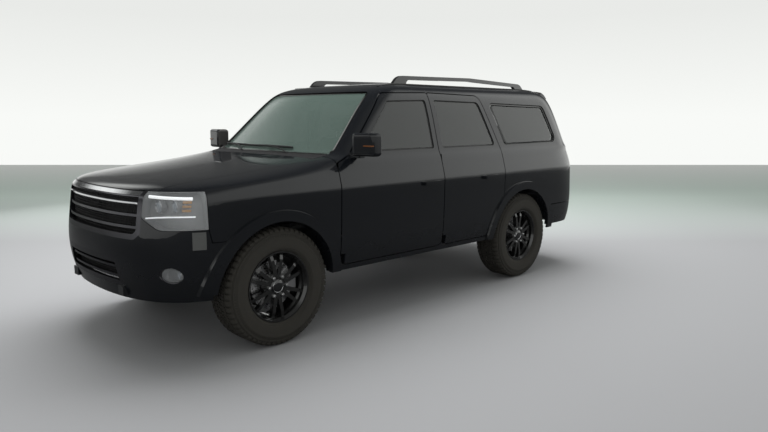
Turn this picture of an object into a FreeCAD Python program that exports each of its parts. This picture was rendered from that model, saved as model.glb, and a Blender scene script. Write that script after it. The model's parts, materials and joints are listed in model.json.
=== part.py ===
"""A five-door sport utility vehicle on a ladder frame, as an assembly of its real pieces.

Millimetres. +X points forward, +Y to the vehicle's left, +Z up.
The origin is on the ground, below the middle of the overall box.
"""
import FreeCAD, Part
import math
import os

from FreeCAD import Vector

os.makedirs("parts", exist_ok=True)

# Overall sizes
overall_length = 4830.0
body_width = 1890.0
flare_stand_out = 18.0
wheelbase = 2790.0
front_overhang = 905.0
track_width = 1605.0
roof_height = 1816.0
rail_height = 60.0

# Wheels
tyre_diameter = 802.0
tyre_width = 265.0
rim_diameter = 482.0
rim_width = 215.0
hub_bore_radius = 32.0
running_fit = 0.3
stud_count = 6
stud_circle_radius = 69.85
spoke_pairs = 6

# Walls, measured in from the outer surface
skin_thickness = 16.0
door_thickness = 60.0
door_frame_thickness = 36.0
door_seal_gap = 6.0
door_overlap = 40.0
pillar_thickness = 44.0
upper_pillar_thickness = 34.0
sheet_thickness = 25.0
bumper_thickness = 30.0
gate_thickness = 40.0
cowl_thickness = 12.0
liner_thickness = 6.0
glass_thickness = 5.0
glass_inset = 9.0
panel_gap = 8.0
seat_gap = 0.3

# Heights
sill_height = 425.0
door_bottom = 470.0
shoulder_height = 1045.0
window_bottom = 1270.0
windshield_bottom = 1250.0
floor_height = 520.0
floor_thickness = 30.0
load_floor_height = 745.0
bumper_bottom = 385.0
bumper_top = 760.0
rear_bumper_bottom = 455.0
rear_bumper_top = 655.0
hood_lip_z = 1080.0
lamp_top = hood_lip_z - 4
lamp_bottom = 846.0
handle_height = 1000.0

# Lengthwise places
half_length = overall_length / 2
half_width = body_width / 2
front_axle_x = half_length - front_overhang
rear_axle_x = front_axle_x - wheelbase
axle_height = tyre_diameter / 2
hub_y = track_width / 2
door_front_x = 985.0
door_split_x = -119.0
rear_door_end_x = -960.0
cowl_bottom_x = 920.0
tail_lamp_front_x = -2215.0
frame_front_x = 2290.0
frame_rear_x = -2290.0

# Places across
arch_radius = 450.0
flare_width = 62.0
ditch_y = 588.0
rail_y = 545.0
cowl_half_width = 735.0
tailgate_half_width = 690.0
grille_half_width = 600.0
grille_frame_width = 34.0
wheelhouse_y = 600.0
apron_y = 466.0
rail_inner_y = 350.0
rail_outer_y = 425.0
fog_lamp_y = 762.0
fog_lamp_z = 568.0
fog_lamp_radius = 52.0
mirror_x = 815.0
mirror_y = 1010.0
mirror_z = 1330.0

# Hinges
hinge_back = 45.0
hinge_heights = (700.0, 1010.0)
hinge_pocket = 64.0
hinge_arm = 34.0
hinge_pin_radius = 5.0
hinge_eye_radius = 8.5
gate_hinge_x = -1985.0
gate_hinge_z = 1738.0
gate_swing_room = 11.0
gate_hinge_y = 300.0
gate_edge_radius = 70.0
spoiler_reach = 95.0
spoiler_half_width = 570.0
hood_hinge_x = 1008.0
hood_hinge_z = 1205.0
hood_hinge_y = 660.0
hood_edge_radius = 72.0
lid_hinge_half_width = 28.0
lid_eye_width = 12.0
lid_eye_radius = 11.0
lid_pin_radius = 5.0
kingpin_y = 752.0

# Chassis
rail_depth = 120.0
rail_rear_spread = 62.0
spring_y = 510.0
firewall_x = 1000.0
knuckle_reach = 108.0
ball_pin_radius = 10.0
cv_ball_radius = 24.0
brake_disc_y = -8.0
brake_disc_radius = 165.0
spoke_lean = 11.0


# Shape helpers
def arc_corner(before, corner, after, radius):
    """Start, middle and end of the arc that rounds one corner of an outline."""
    a = (before - corner).normalize()
    b = (after - corner).normalize()
    half = a.getAngle(b) / 2
    reach = radius / math.tan(half)
    bisector = (a + b).normalize()
    centre = corner + bisector * (radius / math.sin(half))
    return corner + a * reach, centre - bisector * radius, corner + b * reach


def rounded_wire(corners, place):
    """A closed wire through (u, v, radius) corners, each one rounded. place turns (u, v) into a point."""
    points = [place(u, v) for u, v, _ in corners]
    ends = []
    for i, (_, _, radius) in enumerate(corners):
        if radius > 0:
            ends.append(arc_corner(points[i - 1], points[i], points[(i + 1) % len(points)], radius))
        else:
            ends.append((points[i], None, points[i]))
    edges = []
    for i, (start, middle, end) in enumerate(ends):
        if middle is not None:
            edges.append(Part.Arc(start, middle, end).toShape())
        following = ends[(i + 1) % len(ends)][0]
        if end.distanceToPoint(following) > 1e-6:
            edges.append(Part.makeLine(end, following))
    return Part.Wire(edges)


def grown(corners, distance):
    """The outline moved outwards by a distance, or inwards where it is negative."""
    area = sum(corners[i - 1][0] * c[1] - c[0] * corners[i - 1][1] for i, c in enumerate(corners))
    side = 1 if area > 0 else -1
    moved = []
    for i, (u, v, radius) in enumerate(corners):
        pu, pv, _ = corners[i - 1]
        nu, nv, _ = corners[(i + 1) % len(corners)]
        in_u, in_v = u - pu, v - pv
        out_u, out_v = nu - u, nv - v
        in_len, out_len = math.hypot(in_u, in_v), math.hypot(out_u, out_v)
        n1 = (side * in_v / in_len, -side * in_u / in_len)
        n2 = (side * out_v / out_len, -side * out_u / out_len)
        share = distance / (1 + n1[0] * n2[0] + n1[1] * n2[1])
        turn = side * (in_u * out_v - in_v * out_u)
        new_radius = max(radius + distance, 1.0) if turn > 0 else max(radius - distance, 1.0)
        moved.append((u + share * (n1[0] + n2[0]), v + share * (n1[1] + n2[1]), new_radius if radius > 0 else 0))
    return moved


def prism_y(corners, y_from, y_to):
    """An outline in the side view, (x, z, radius), pushed sideways."""
    wire = rounded_wire(corners, lambda u, v: Vector(u, y_from, v))
    return Part.Face(wire).extrude(Vector(0, y_to - y_from, 0))


def prism_z(corners, z_from, z_to):
    """An outline in the plan view, (x, y, radius), pushed upwards."""
    wire = rounded_wire(corners, lambda u, v: Vector(u, v, z_from))
    return Part.Face(wire).extrude(Vector(0, 0, z_to - z_from))


def prism_x(corners, x_from, x_to):
    """An outline in the front view, (y, z, radius), pushed lengthwise."""
    wire = rounded_wire(corners, lambda u, v: Vector(x_from, u, v))
    return Part.Face(wire).extrude(Vector(x_to - x_from, 0, 0))


def block(x0, x1, y0, y1, z0, z1):
    return Part.makeBox(x1 - x0, y1 - y0, z1 - z0, Vector(x0, y0, z0))


def rod(start, end, radius):
    axis = end - start
    return Part.makeCylinder(radius, axis.Length, start, axis)


def disc_y(x, z, radius, y_from, y_to):
    return Part.makeCylinder(radius, y_to - y_from, Vector(x, y_from, z), Vector(0, 1, 0))


def mirrored(shape):
    return shape.mirror(Vector(0, 0, 0), Vector(0, 1, 0))


def both_sides(shape):
    return [shape, mirrored(shape)]


def save(name, *shapes):
    """Writes the solids of a node to parts/NAME.step."""
    solids = [s for shape in shapes for s in shape.Solids]
    node = Part.makeCompound(solids) if len(solids) > 1 else solids[0]
    node.exportStep("parts/" + name + ".step")
    print(f"{name}: {len(solids)} solid(s), {node.Volume / 1e6:.2f} litres")


# The body's outer surface, as levels of one smooth tube
# A plan shape rounds a level off: taper length and two powers, first for the nose, then for the tail.
low_plan = (1800.0, 9.0, 2.3, 1500.0, 13.0, 2.8)
mid_plan = (900.0, 5.0, 2.6, 900.0, 7.0, 3.0)
high_plan = (270.0, 3.1, 3.5, 420.0, 3.2, 3.4)
# Each level is (height, side set in, nose set back, tail set in, plan shape) from the overall box.
levels = [
    (300.0, 75.0, 95.0, 75.0, low_plan),
    (400.0, 45.0, 42.0, 38.0, low_plan),
    (540.0, 14.0, 6.0, 6.0, low_plan),
    (700.0, 5.0, -2.0, 0.0, low_plan),
    (860.0, 2.0, 20.0, 14.0, low_plan),
    (985.0, 0.0, 38.0, 24.0, low_plan),
    (shoulder_height - 10, 0.0, 46.0, 28.0, low_plan),
    (shoulder_height + 12, 5.0, 58.0, 30.0, low_plan),
    (1092.0, 14.0, 96.0, 34.0, low_plan),
    (1112.0, 19.0, 190.0, 38.0, low_plan),
    (1134.0, 26.0, 380.0, 42.0, low_plan),
    (1162.0, 33.0, 660.0, 48.0, low_plan),
    (1195.0, 43.0, 980.0, 56.0, mid_plan),
    (1226.0, 56.0, 1290.0, 68.0, high_plan),
    (1246.0, 68.0, 1400.0, 86.0, high_plan),
    (1300.0, 82.0, 1462.0, 104.0, high_plan),
    (1400.0, 108.0, 1566.0, 134.0, high_plan),
    (1560.0, 150.0, 1728.0, 188.0, high_plan),
    (1672.0, 188.0, 1848.0, 236.0, high_plan),
    (1744.0, 230.0, 1944.0, 288.0, high_plan),
    (1786.0, 308.0, 2096.0, 380.0, high_plan),
    (1808.0, 482.0, 2376.0, 632.0, high_plan),
    (roof_height, 690.0, 2750.0, 954.0, high_plan),
    (roof_height, 750.0, 2850.0, 1034.0, high_plan),
]
nose_angles = [10, 20, 30, 40, 50, 60, 70, 79, 85, 88.5]


def quarter_plan(end_x, taper_x, side_y, long_power, wide_power):
    """Control points from the middle of an end round its corner to the side."""
    points = [(end_x, 0.0)]
    for angle in nose_angles:
        c, s = math.cos(math.radians(angle)), math.sin(math.radians(angle))
        points.append((taper_x + (end_x - taper_x) * c ** (2 / long_power), side_y * s ** (2 / wide_power)))
    return points


def level_poles(height, side_in, nose_back, tail_in, plan, inset):
    """The ring of control points of one level, set in by a wall thickness."""
    nose_taper, nose_long, nose_wide, tail_taper, tail_long, tail_wide = plan
    side_y = half_width - side_in - inset
    nose_x = half_length - nose_back - inset
    tail_x = -half_length + tail_in + inset
    nose = quarter_plan(nose_x, nose_x - nose_taper, side_y, nose_long, nose_wide)
    tail = quarter_plan(tail_x, tail_x + tail_taper, side_y, tail_long, tail_wide)
    waist = [(nose_x - nose_taper, side_y), (tail_x + tail_taper, side_y)]
    left = nose + waist + tail[:0:-1]
    ring = left + [tail[0]] + [(x, -y) for x, y in reversed(left[1:])]
    return [Vector(x, y, height) for x, y in ring]


def tube_faces(inset, drop):
    """The side face of the body tube set in by a wall thickness, and its bottom and top rims."""
    rings = []
    for i, (height, side_in, nose_back, tail_in, plan) in enumerate(levels):
        lowered = height - (drop if i > 1 else 0)
        rings.append(level_poles(lowered, side_in, nose_back, tail_in, plan, inset))
    poles = [list(column) for column in zip(*rings)]
    around, up = len(poles), len(rings)
    surface = Part.BSplineSurface()
    surface.buildFromPolesMultsKnots(
        poles, [1] * (around + 1), [4] + [1] * (up - 4) + [4],
        [float(i) for i in range(around + 1)], [float(i) for i in range(up - 2)], True, False, 3, 3)
    side = surface.toShape()
    rims = [Part.Wire([edge]) for edge in side.Edges if edge.BoundBox.ZLength < 1e-3]
    rims.sort(key=lambda rim: rim.BoundBox.ZMin)
    return side, rims[0], rims[1]


def sewn(faces):
    skin = Part.Compound(faces)
    skin.sewShape()
    solid = Part.Solid(skin.Shells[0] if skin.Shells else Part.Shell(skin.Faces))
    return solid if solid.Volume > 0 else solid.reversed()


def body_tube(inset=0.0, drop=0.0):
    """The whole body as one solid, set in by a wall thickness."""
    side, bottom, top = tube_faces(inset, drop)
    return sewn([side, Part.Face(bottom), Part.Face(top)])


# Panels: a region of the outer surface, less the volume inside the panel's thickness
print("body surface")
outer = body_tube()
left_half = outer.common(block(-3000, 3000, 300, 1300, 200, 2000))
inside_sheet = body_tube(sheet_thickness, sheet_thickness * 0.8)
inside_bumper = body_tube(bumper_thickness, bumper_thickness * 0.8)
inside_gate = body_tube(gate_thickness, gate_thickness * 0.9)
inside_cowl = body_tube(cowl_thickness, cowl_thickness)
glass_outside = body_tube(glass_inset, glass_inset * 0.7)
glass_inside = body_tube(glass_inset + glass_thickness, (glass_inset + glass_thickness) * 0.7)


# The side wall's outer line in the front view, (y, z, above the belt or not)
side_line = [
    (half_width - 2, 250.0, False), (half_width - 2, 1040.0, False), (914.0, 1150.0, False),
    (878.0, 1242.0, True), (836.0, 1400.0, True), (795.0, 1560.0, True), (756.0, 1672.0, True),
    (722.0, 1732.0, True), (672.0, 1770.0, True)]


def side_core(below, above):
    """What lies inside a flat-faced side wall that is so thick below and above the belt."""
    line = [(y - (above if upper else below), z, 0) for y, z, upper in side_line]
    return prism_x([(-20, line[0][1], 0)] + line + [(-20, line[-1][1], 0)], -2600, 2000)


door_core = side_core(door_thickness, door_frame_thickness)
pillar_core = side_core(door_thickness + door_seal_gap, door_frame_thickness + door_seal_gap)
skin_core = side_core(skin_thickness, skin_thickness)
wall_depth_below = door_thickness + door_seal_gap + pillar_thickness
wall_depth_above = door_frame_thickness + door_seal_gap + upper_pillar_thickness
cabin_half_width = half_width - 2 - wall_depth_below
cabin_side_view = [
    (1400, 250, 0), (1400, 1150, 0), (cowl_bottom_x - 60, 1240, 0), (690, 1400, 0), (532, 1560, 0), (416, 1672, 0),
    (310, 1770, 0), (-1930, 1770, 0), (-2026, 1672, 0), (-2072, 1560, 0), (-2127, 1400, 0), (-2175, 1240, 0),
    (-2190, 1100, 0), (-2190, 250, 0)]
cabin_core = side_core(wall_depth_below, wall_depth_above).common(prism_y(cabin_side_view, -100, 1200))


# Outlines in the side view, (x, z, corner radius)
front_door_outline = [
    (door_front_x, door_bottom, 45), (door_front_x, 1195, 25), (842, 1249, 25),
    (388, 1706, 70), (door_split_x, 1718, 15), (door_split_x, door_bottom, 45)]
rear_split_x = door_split_x - panel_gap
rear_door_outline = [
    (rear_split_x, door_bottom, 45), (rear_split_x, 1718, 15), (-790, 1706, 70),
    (rear_door_end_x, 1249, 30), (rear_door_end_x, door_bottom, 0)]
rear_door_arch_radius = arch_radius + flare_width + 12
front_window_outline = [(742, window_bottom, 18), (368, 1650, 45), (-72, 1663, 22), (-72, window_bottom, 22)]
rear_window_outline = [(-176, window_bottom, 22), (-176, 1663, 22), (-762, 1653, 48), (-898, window_bottom, 28)]
quarter_window_outline = [
    (-1040, window_bottom, 35), (-906, 1651, 45), (-1800, 1634, 70), (-1935, window_bottom + 6, 60)]

# Outlines in the front view, (y, z, corner radius)
tailgate_bottom = rear_bumper_top + panel_gap
tailgate_outline = [
    (-tailgate_half_width, tailgate_bottom, 40), (tailgate_half_width, tailgate_bottom, 40),
    (tailgate_half_width + 8, 1160, 60), (574, 1850, 0), (-574, 1850, 0), (-tailgate_half_width - 8, 1160, 60)]
tailgate_window_outline = [(-610, 1262, 60), (610, 1262, 60), (516, 1650, 60), (-516, 1650, 60)]
windshield_outline = [
    (-770, windshield_bottom, 30), (770, windshield_bottom, 30), (640, 1722, 70), (-640, 1722, 70)]
grille_outline = [
    (-grille_half_width, 820, 40), (-555, 780, 30), (555, 780, 30), (grille_half_width, 820, 40),
    (grille_half_width, lamp_top, 0), (-grille_half_width, lamp_top, 0)]
lamp_inner_y = grille_half_width + seat_gap
headlamp_outline = [
    (lamp_inner_y, 918, 25), (720, lamp_bottom, 80), (1100, lamp_bottom, 0), (1100, lamp_top, 0),
    (lamp_inner_y, lamp_top, 0)]
headlamp_rear_x = 2006.0
tail_lamp_outline = [
    (tailgate_half_width + 16, 900, 12), (1100, 900, 0), (1100, 1165, 0), (tailgate_half_width + 16, 1165, 12)]
hood_outline = [(1000, -735, 0), (2500, -640, 0), (2500, 640, 0), (1000, 735, 0)]


def side_box(outline):
    return prism_y(outline, 300, 1200)


# Doors
door_side_y = half_width - 19.0
front_hinge = Vector(door_front_x - hinge_back, door_side_y, 0)
rear_hinge = Vector(rear_split_x - hinge_back, door_side_y, 0)


def upright(x, y, radius, low, high):
    return Part.makeCylinder(radius, high - low, Vector(x, y, low))


def door(outline, window, hinge, upper_edge_z):
    """One door: a thick panel with a thin leading edge, a window and the pins of its two hinges."""
    panel = left_half.common(side_box(outline)).cut(door_core).cut(side_box(window))
    edge = block(hinge.x + 2, hinge.x + 300, 300, 1200, 300, 1222)
    swing = upright(hinge.x, hinge.y, hinge_back + 1.5, 300, 1300)
    inner_edge = block(hinge.x + 4, hinge.x + 300, 300, 1200, 300, upper_edge_z).common(skin_core)
    panel = panel.cut(inner_edge).cut(edge.cut(swing))
    for height in hinge_heights:
        low, high = height - hinge_pocket / 2, height + hinge_pocket / 2
        roof_y = hinge.y + hinge_eye_radius + 2
        pocket = block(hinge.x - 26, hinge.x + 100, hinge.y - 200, roof_y, low, high)
        panel = panel.cut(pocket).fuse(upright(hinge.x, hinge.y, hinge_pin_radius, low - 8, high + 8))
    return panel


def hinge_arms(hinge):
    """The body's half of the two hinges of a door: arms from the pillar with an eye round each pin."""
    arms = []
    for height in hinge_heights:
        low, high = height - hinge_arm / 2, height + hinge_arm / 2
        root = half_width - 2 - door_thickness - door_seal_gap - pillar_thickness / 2
        web = block(hinge.x - 6, hinge.x + 6, root, hinge.y, low, high)
        eye = upright(hinge.x, hinge.y, hinge_eye_radius, low, high)
        arms.append(eye.fuse(web).cut(upright(hinge.x, hinge.y, hinge_pin_radius + running_fit, low, high)))
    return arms


def door_handle(x_front):
    """A pull handle that stands off the door on two feet."""
    z, y = handle_height, half_width - 3
    grip = prism_z([(x_front, y, 0), (x_front - 8, y + 38, 12), (x_front - 192, y + 38, 12), (x_front - 200, y, 0)],
                   z - 14, z + 14)
    hollow = prism_z([(x_front - 30, y - 2, 0), (x_front - 38, y + 24, 8), (x_front - 162, y + 24, 8),
                      (x_front - 170, y - 2, 0)], z - 20, z + 20)
    foot = block(x_front - 200, x_front, y - 8, y + 0.5, z - 14, z + 14)
    return grip.cut(hollow).fuse(foot)


def mirror():
    """A door mirror: a rounded shell on an arm from the door's front corner."""
    shell = prism_z([(mirror_x + 60, mirror_y - 95, 30), (mirror_x - 45, mirror_y - 105, 8),
                     (mirror_x - 45, mirror_y + 118, 8), (mirror_x + 35, mirror_y + 112, 50)],
                    mirror_z - 82, mirror_z + 82)
    shell = shell.makeFillet(24, [e for e in shell.Edges if e.BoundBox.ZLength < 1 and e.CenterOfMass.x > mirror_x - 40])
    face = block(mirror_x - 60, mirror_x - 37, mirror_y - 92, mirror_y + 105, mirror_z - 68, mirror_z + 68)
    arm = prism_z([(mirror_x + 35, 862, 8), (mirror_x + 25, mirror_y - 40, 8), (mirror_x - 30, mirror_y - 40, 8),
                   (mirror_x - 30, 862, 8)], mirror_z - 98, mirror_z - 58)
    return shell.cut(face).fuse(arm)


print("doors")
rear_arch_disc = disc_y(rear_axle_x, axle_height, rear_door_arch_radius, 300, 1200)
door_front = door(front_door_outline, front_window_outline, front_hinge, 1222)
door_front = door_front.fuse(door_handle(door_split_x + 262)).fuse(mirror())
door_rear = door(rear_door_outline, rear_window_outline, rear_hinge, 1800).cut(rear_arch_disc)
door_rear = door_rear.fuse(door_handle(rear_door_end_x + 322))
for name, shape in (("door_front", door_front), ("door_rear", door_rear)):
    save(name + "_left", shape)
    save(name + "_right", mirrored(shape))


def side_glass(window):
    return glass_outside.common(side_box(grown(window, -seat_gap))).cut(glass_inside)


for name, window in (("glass_front", front_window_outline), ("glass_rear", rear_window_outline)):
    pane = side_glass(window)
    save(name + "_left", pane)
    save(name + "_right", mirrored(pane))

# The tailgate's edge and the roof's edge are two cylinders about the tailgate's hinge line
gate_round = disc_y(gate_hinge_x, gate_hinge_z, gate_edge_radius, -900, 900)
roof_round = disc_y(gate_hinge_x, gate_hinge_z, gate_edge_radius - panel_gap, -900, 900)
gate_region = prism_x(tailgate_outline, -2600, gate_hinge_x).cut(gate_round)
# The opening widens towards its top, where the gate's wider lower part swings through it
gate_opening_outline = [(y + math.copysign(gate_swing_room, y) * (z > gate_hinge_z), z, r)
                        for y, z, r in tailgate_outline]
gate_opening = prism_x(grown(gate_opening_outline, panel_gap), -2600, gate_hinge_x).cut(roof_round)

# Body sides: sill, pillars, quarter panel and rear wheelhouse
print("body sides")
side_region = [
    (1048, sill_height, 0), (1048, 1150, 0), (door_front_x, 1150, 0), (door_front_x, 1900, 0), (-2600, 1900, 0),
    (-2600, tailgate_bottom, 0), (rear_axle_x, tailgate_bottom, 0), (rear_axle_x, sill_height, 0)]
body_side = left_half.common(side_box(side_region)).cut(cabin_core)
for outline in (front_door_outline, rear_door_outline):
    slot = side_box(grown(outline, panel_gap)).cut(pillar_core)
    aperture = side_box(grown(outline, -door_overlap))
    if outline is rear_door_outline:
        slot = slot.cut(disc_y(rear_axle_x, axle_height, rear_door_arch_radius - panel_gap, 300, 1200))
        aperture = aperture.cut(disc_y(rear_axle_x, axle_height, rear_door_arch_radius + door_overlap, 300, 1200))
    body_side = body_side.cut(slot).cut(aperture)
body_side = body_side.cut(block(door_front_x, 1200, 300, 1200, 300, 1300).cut(pillar_core))
body_side = body_side.cut(side_box(quarter_window_outline))
body_side = body_side.cut(prism_x(windshield_outline, 100, 1300))
body_side = body_side.cut(block(700, 1300, 300, cowl_half_width + seat_gap, 1000, windshield_bottom + 2))
body_side = body_side.cut(gate_opening)
body_side = body_side.cut(block(-3000, 1200, 200, ditch_y + seat_gap, 1500, 1900))
lamp_pocket = prism_x(grown(tail_lamp_outline, seat_gap), -2600, tail_lamp_front_x + seat_gap)
body_side = body_side.cut(lamp_pocket)
arch_cut = disc_y(rear_axle_x, axle_height, arch_radius, 300, 1300)
wheelhouse = disc_y(rear_axle_x, axle_height, arch_radius + liner_thickness, wheelhouse_y - liner_thickness, 905)
wheelhouse = wheelhouse.common(block(-2200, 0, 300, 1300, 500, 1300)).common(outer)
wheelhouse = wheelhouse.cut(disc_y(rear_axle_x, axle_height, arch_radius, wheelhouse_y, 1300))
body_side = body_side.cut(arch_cut).fuse(wheelhouse)
for arm in hinge_arms(front_hinge) + hinge_arms(rear_hinge):
    body_side = body_side.fuse(arm)
save("body_side_left", body_side)
save("body_side_right", mirrored(body_side))

windshield = glass_outside.common(prism_x(grown(windshield_outline, -seat_gap), 100, 1300)).cut(glass_inside)
save("fixed_glass", windshield, *both_sides(side_glass(quarter_window_outline)))
tail_lamp = left_half.common(prism_x(tail_lamp_outline, -2600, tail_lamp_front_x)).cut(inside_gate)
save("tail_lamps", *both_sides(tail_lamp))


# Roof and tailgate with its two hinges
def along_y(outline, y_from, y_to, place_x, place_z):
    """An outline drawn about a hinge line, pushed sideways."""
    return prism_y([(place_x + u, place_z + v, r) for u, v, r in outline], y_from, y_to)


def pin_y(x, z, radius, y_from, y_to):
    return disc_y(x, z, radius, y_from, y_to)


def hinge_brackets(x, z, reach_up, y_middle):
    """Two eyes either side of a lid's arm, each with a web up to the panel that carries it."""
    eyes = []
    for y in (y_middle - lid_hinge_half_width, y_middle + lid_hinge_half_width - lid_eye_width):
        eye = pin_y(x, z, lid_eye_radius, y, y + lid_eye_width)
        web = block(x - lid_eye_radius, x + lid_eye_radius, y, y + lid_eye_width, z, z + reach_up)
        bore = pin_y(x, z, lid_pin_radius + running_fit, y, y + lid_eye_width)
        eyes.append(eye.fuse(web).cut(bore))
    return eyes


def lid_arm(x, z, outline, y_middle):
    """A lid's goose-neck arm with its hinge pin."""
    half = lid_hinge_half_width - lid_eye_width - 1.0
    arm = along_y(outline, y_middle - half, y_middle + half, x, z)
    return arm.fuse(pin_y(x, z, lid_pin_radius, y_middle - lid_hinge_half_width, y_middle + lid_hinge_half_width))


print("roof and tailgate")
roof = outer.common(block(-3000, 1200, -ditch_y, ditch_y, 1560, 1900)).cut(inside_sheet)
roof = roof.cut(prism_x(windshield_outline, 100, 1300)).cut(gate_opening)
gate = outer.common(gate_region).cut(inside_gate).cut(prism_x(tailgate_window_outline, -2600, -1900))
gate_arm_outline = [(7, 8, 5), (7, -9, 5), (2, -86, 8), (-168, -72, 4), (-168, -56, 0), (-13, -68, 8), (-8, 8, 5)]
for side in (-1, 1):
    y = side * gate_hinge_y
    gate = gate.fuse(lid_arm(gate_hinge_x, gate_hinge_z, gate_arm_outline, y))
    for eye in hinge_brackets(gate_hinge_x, gate_hinge_z, 32, y):
        roof = roof.fuse(eye)
spoiler = outer.translated(Vector(-spoiler_reach, 0, 12))
spoiler = spoiler.common(block(-2600, gate_hinge_x - 93, -spoiler_half_width, spoiler_half_width, 1708, 1950))
save("tailgate", gate.fuse(spoiler.cut(inside_gate)))
save("roof_panel", roof)
pane = prism_x(grown(tailgate_window_outline, -seat_gap), -2600, -1900)
save("tailgate_glass", glass_outside.common(pane).cut(glass_inside))

# Hood, cowl, fenders and nose
print("nose")
hood_round = disc_y(hood_hinge_x, hood_hinge_z, hood_edge_radius, -900, 900)
cowl_round = disc_y(hood_hinge_x, hood_hinge_z, hood_edge_radius - panel_gap, -900, 900)
hood_box = prism_z(hood_outline, hood_lip_z, 1400)
hood = outer.common(hood_box).cut(inside_sheet).cut(block(900, hood_hinge_x, -900, 900, 1000, 1500)).cut(hood_round)
cowl_outline = [(800, -cowl_half_width, 0), (hood_hinge_x, -cowl_half_width, 0), (hood_hinge_x, 12 - cowl_half_width, 0),
                (1200, 12 - cowl_half_width, 0), (1200, cowl_half_width - 12, 0),
                (hood_hinge_x, cowl_half_width - 12, 0), (hood_hinge_x, cowl_half_width, 0), (800, cowl_half_width, 0)]
cowl = outer.common(prism_z(cowl_outline, 1100, windshield_bottom))
cowl = cowl.cut(inside_cowl)
cowl = cowl.cut(block(hood_hinge_x, 1400, -900, 900, 1000, 1500).cut(cowl_round))
hood_arm_outline = [(-8, 8, 6), (-8, -6, 6), (36, -72, 10), (48, -72, 8), (128, -6, 0), (112, -4, 0),
                    (44, -56, 8), (8, 8, 6)]
for side in (-1, 1):
    y = side * hood_hinge_y
    hood = hood.fuse(lid_arm(hood_hinge_x, hood_hinge_z, hood_arm_outline, y))
    for eye in hinge_brackets(hood_hinge_x, hood_hinge_z, 22, y):
        cowl = cowl.fuse(eye)
save("hood", hood)
save("cowl", cowl)

hood_gap_box = prism_z([(900, -735 - panel_gap, 0), (2500, -640 - panel_gap, 0), (2500, 640 + panel_gap, 0),
                        (900, 735 + panel_gap, 0)], 900, 1400)
fender_region = [
    (door_front_x + panel_gap, sill_height, 0), (front_axle_x, sill_height, 0), (front_axle_x, bumper_top + 4, 0),
    (1985, bumper_top + 4, 0), (headlamp_rear_x - 4, lamp_bottom, 0), (headlamp_rear_x - 4, hood_lip_z, 0),
    (2600, hood_lip_z, 0), (2600, 1300, 0), (door_front_x + panel_gap, 1300, 0)]
fender = left_half.common(side_box(fender_region)).cut(inside_sheet).cut(hood_gap_box)
fender = fender.cut(disc_y(front_axle_x, axle_height, arch_radius, 300, 1300))
liner = disc_y(front_axle_x, axle_height, arch_radius + liner_thickness, apron_y, 925)
liner = liner.cut(disc_y(front_axle_x, axle_height, arch_radius, apron_y - 1, 1300))
liner = liner.common(block(900, 2200, 300, 1300, 470, 1300)).common(outer)
apron = block(1045, 2130, apron_y, apron_y + liner_thickness, 640, 1085)
apron = apron.cut(block(1535, 1635, apron_y - 1, apron_y + liner_thickness + 1, 600, 790))
ledge = block(1045, 2130, apron_y, 760, 1060, 1060 + liner_thickness)
fender = fender.fuse(liner).fuse(apron)
for z in (560, 1010):
    fender = fender.fuse(block(1014, 1044, half_width - 2 - door_thickness - door_seal_gap + seat_gap, 922, z, z + 60))
save("fender_left", fender)
save("fender_right", mirrored(fender))

bumper_region = [
    (front_axle_x, bumper_bottom, 0), (2600, bumper_bottom, 0), (2600, lamp_top, 0), (headlamp_rear_x, lamp_top, 0),
    (headlamp_rear_x, lamp_bottom, 0), (1990, bumper_top, 0), (front_axle_x, bumper_top, 0)]
bumper = outer.common(prism_y(bumper_region, -1200, 1200)).cut(inside_bumper)
bumper = bumper.cut(prism_x(grown(grille_outline, seat_gap), 1900, 2600))
lower_grille_outline = [(-430, 470, 30), (430, 470, 30), (400, 655, 40), (-400, 655, 40)]
bumper = bumper.cut(prism_x(lower_grille_outline, 1900, 2600))
for arch in both_sides(disc_y(front_axle_x, axle_height, arch_radius + 11, 300, 1300)):
    bumper = bumper.cut(arch)
lamp_hole = prism_x(grown(headlamp_outline, 3), 1900, 2600)
fog_hole = Part.makeCylinder(fog_lamp_radius + seat_gap, 600, Vector(2000, fog_lamp_y, fog_lamp_z), Vector(1, 0, 0))
for hole in both_sides(lamp_hole) + both_sides(fog_hole):
    bumper = bumper.cut(hole)
for bracket in both_sides(block(frame_front_x + seat_gap, 2362, rail_inner_y, rail_outer_y, 405, 466)):
    bumper = bumper.fuse(bracket)
save("front_bumper", bumper)

headlamp = left_half.common(prism_x(headlamp_outline, headlamp_rear_x, 2600)).cut(inside_gate)
fog = Part.makeCylinder(fog_lamp_radius, 600, Vector(2000, fog_lamp_y, fog_lamp_z), Vector(1, 0, 0))
fog = fog.common(glass_outside).cut(inside_gate)
save("front_lamps", *(both_sides(headlamp) + both_sides(fog)))


def barred(outline, bar_count, low, high):
    """A frame that follows the nose round an opening, with bars across it."""
    whole = outer.common(prism_x(outline, 1900, 2600)).cut(inside_bumper)
    frame = whole.cut(prism_x(grown(outline, -grille_frame_width), 1900, 2600))
    for i in range(bar_count):
        z = low + (high - low) * (i + 1) / (bar_count + 1)
        frame = frame.fuse(whole.common(glass_outside).common(block(1900, 2600, -700, 700, z - 8, z + 8)))
    return frame


save("grilles", barred(grille_outline, 3, 780, lamp_top),
     barred(grown(lower_grille_outline, -seat_gap), 2, 470, 655))

# Rear bumper
rear_region = [(rear_axle_x, rear_bumper_bottom, 0), (-2600, rear_bumper_bottom, 0), (-2600, rear_bumper_top, 0),
               (rear_axle_x, rear_bumper_top, 0)]
rear_bumper = outer.common(prism_y(rear_region, -1200, 1200)).cut(inside_bumper)
for arch in both_sides(disc_y(rear_axle_x, axle_height, arch_radius + 11, 300, 1300)):
    rear_bumper = rear_bumper.cut(arch)
for bracket in both_sides(block(-2366, frame_rear_x - seat_gap, rail_inner_y, rail_outer_y, 475, 540)):
    rear_bumper = rear_bumper.fuse(bracket)
save("rear_bumper", rear_bumper)

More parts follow.
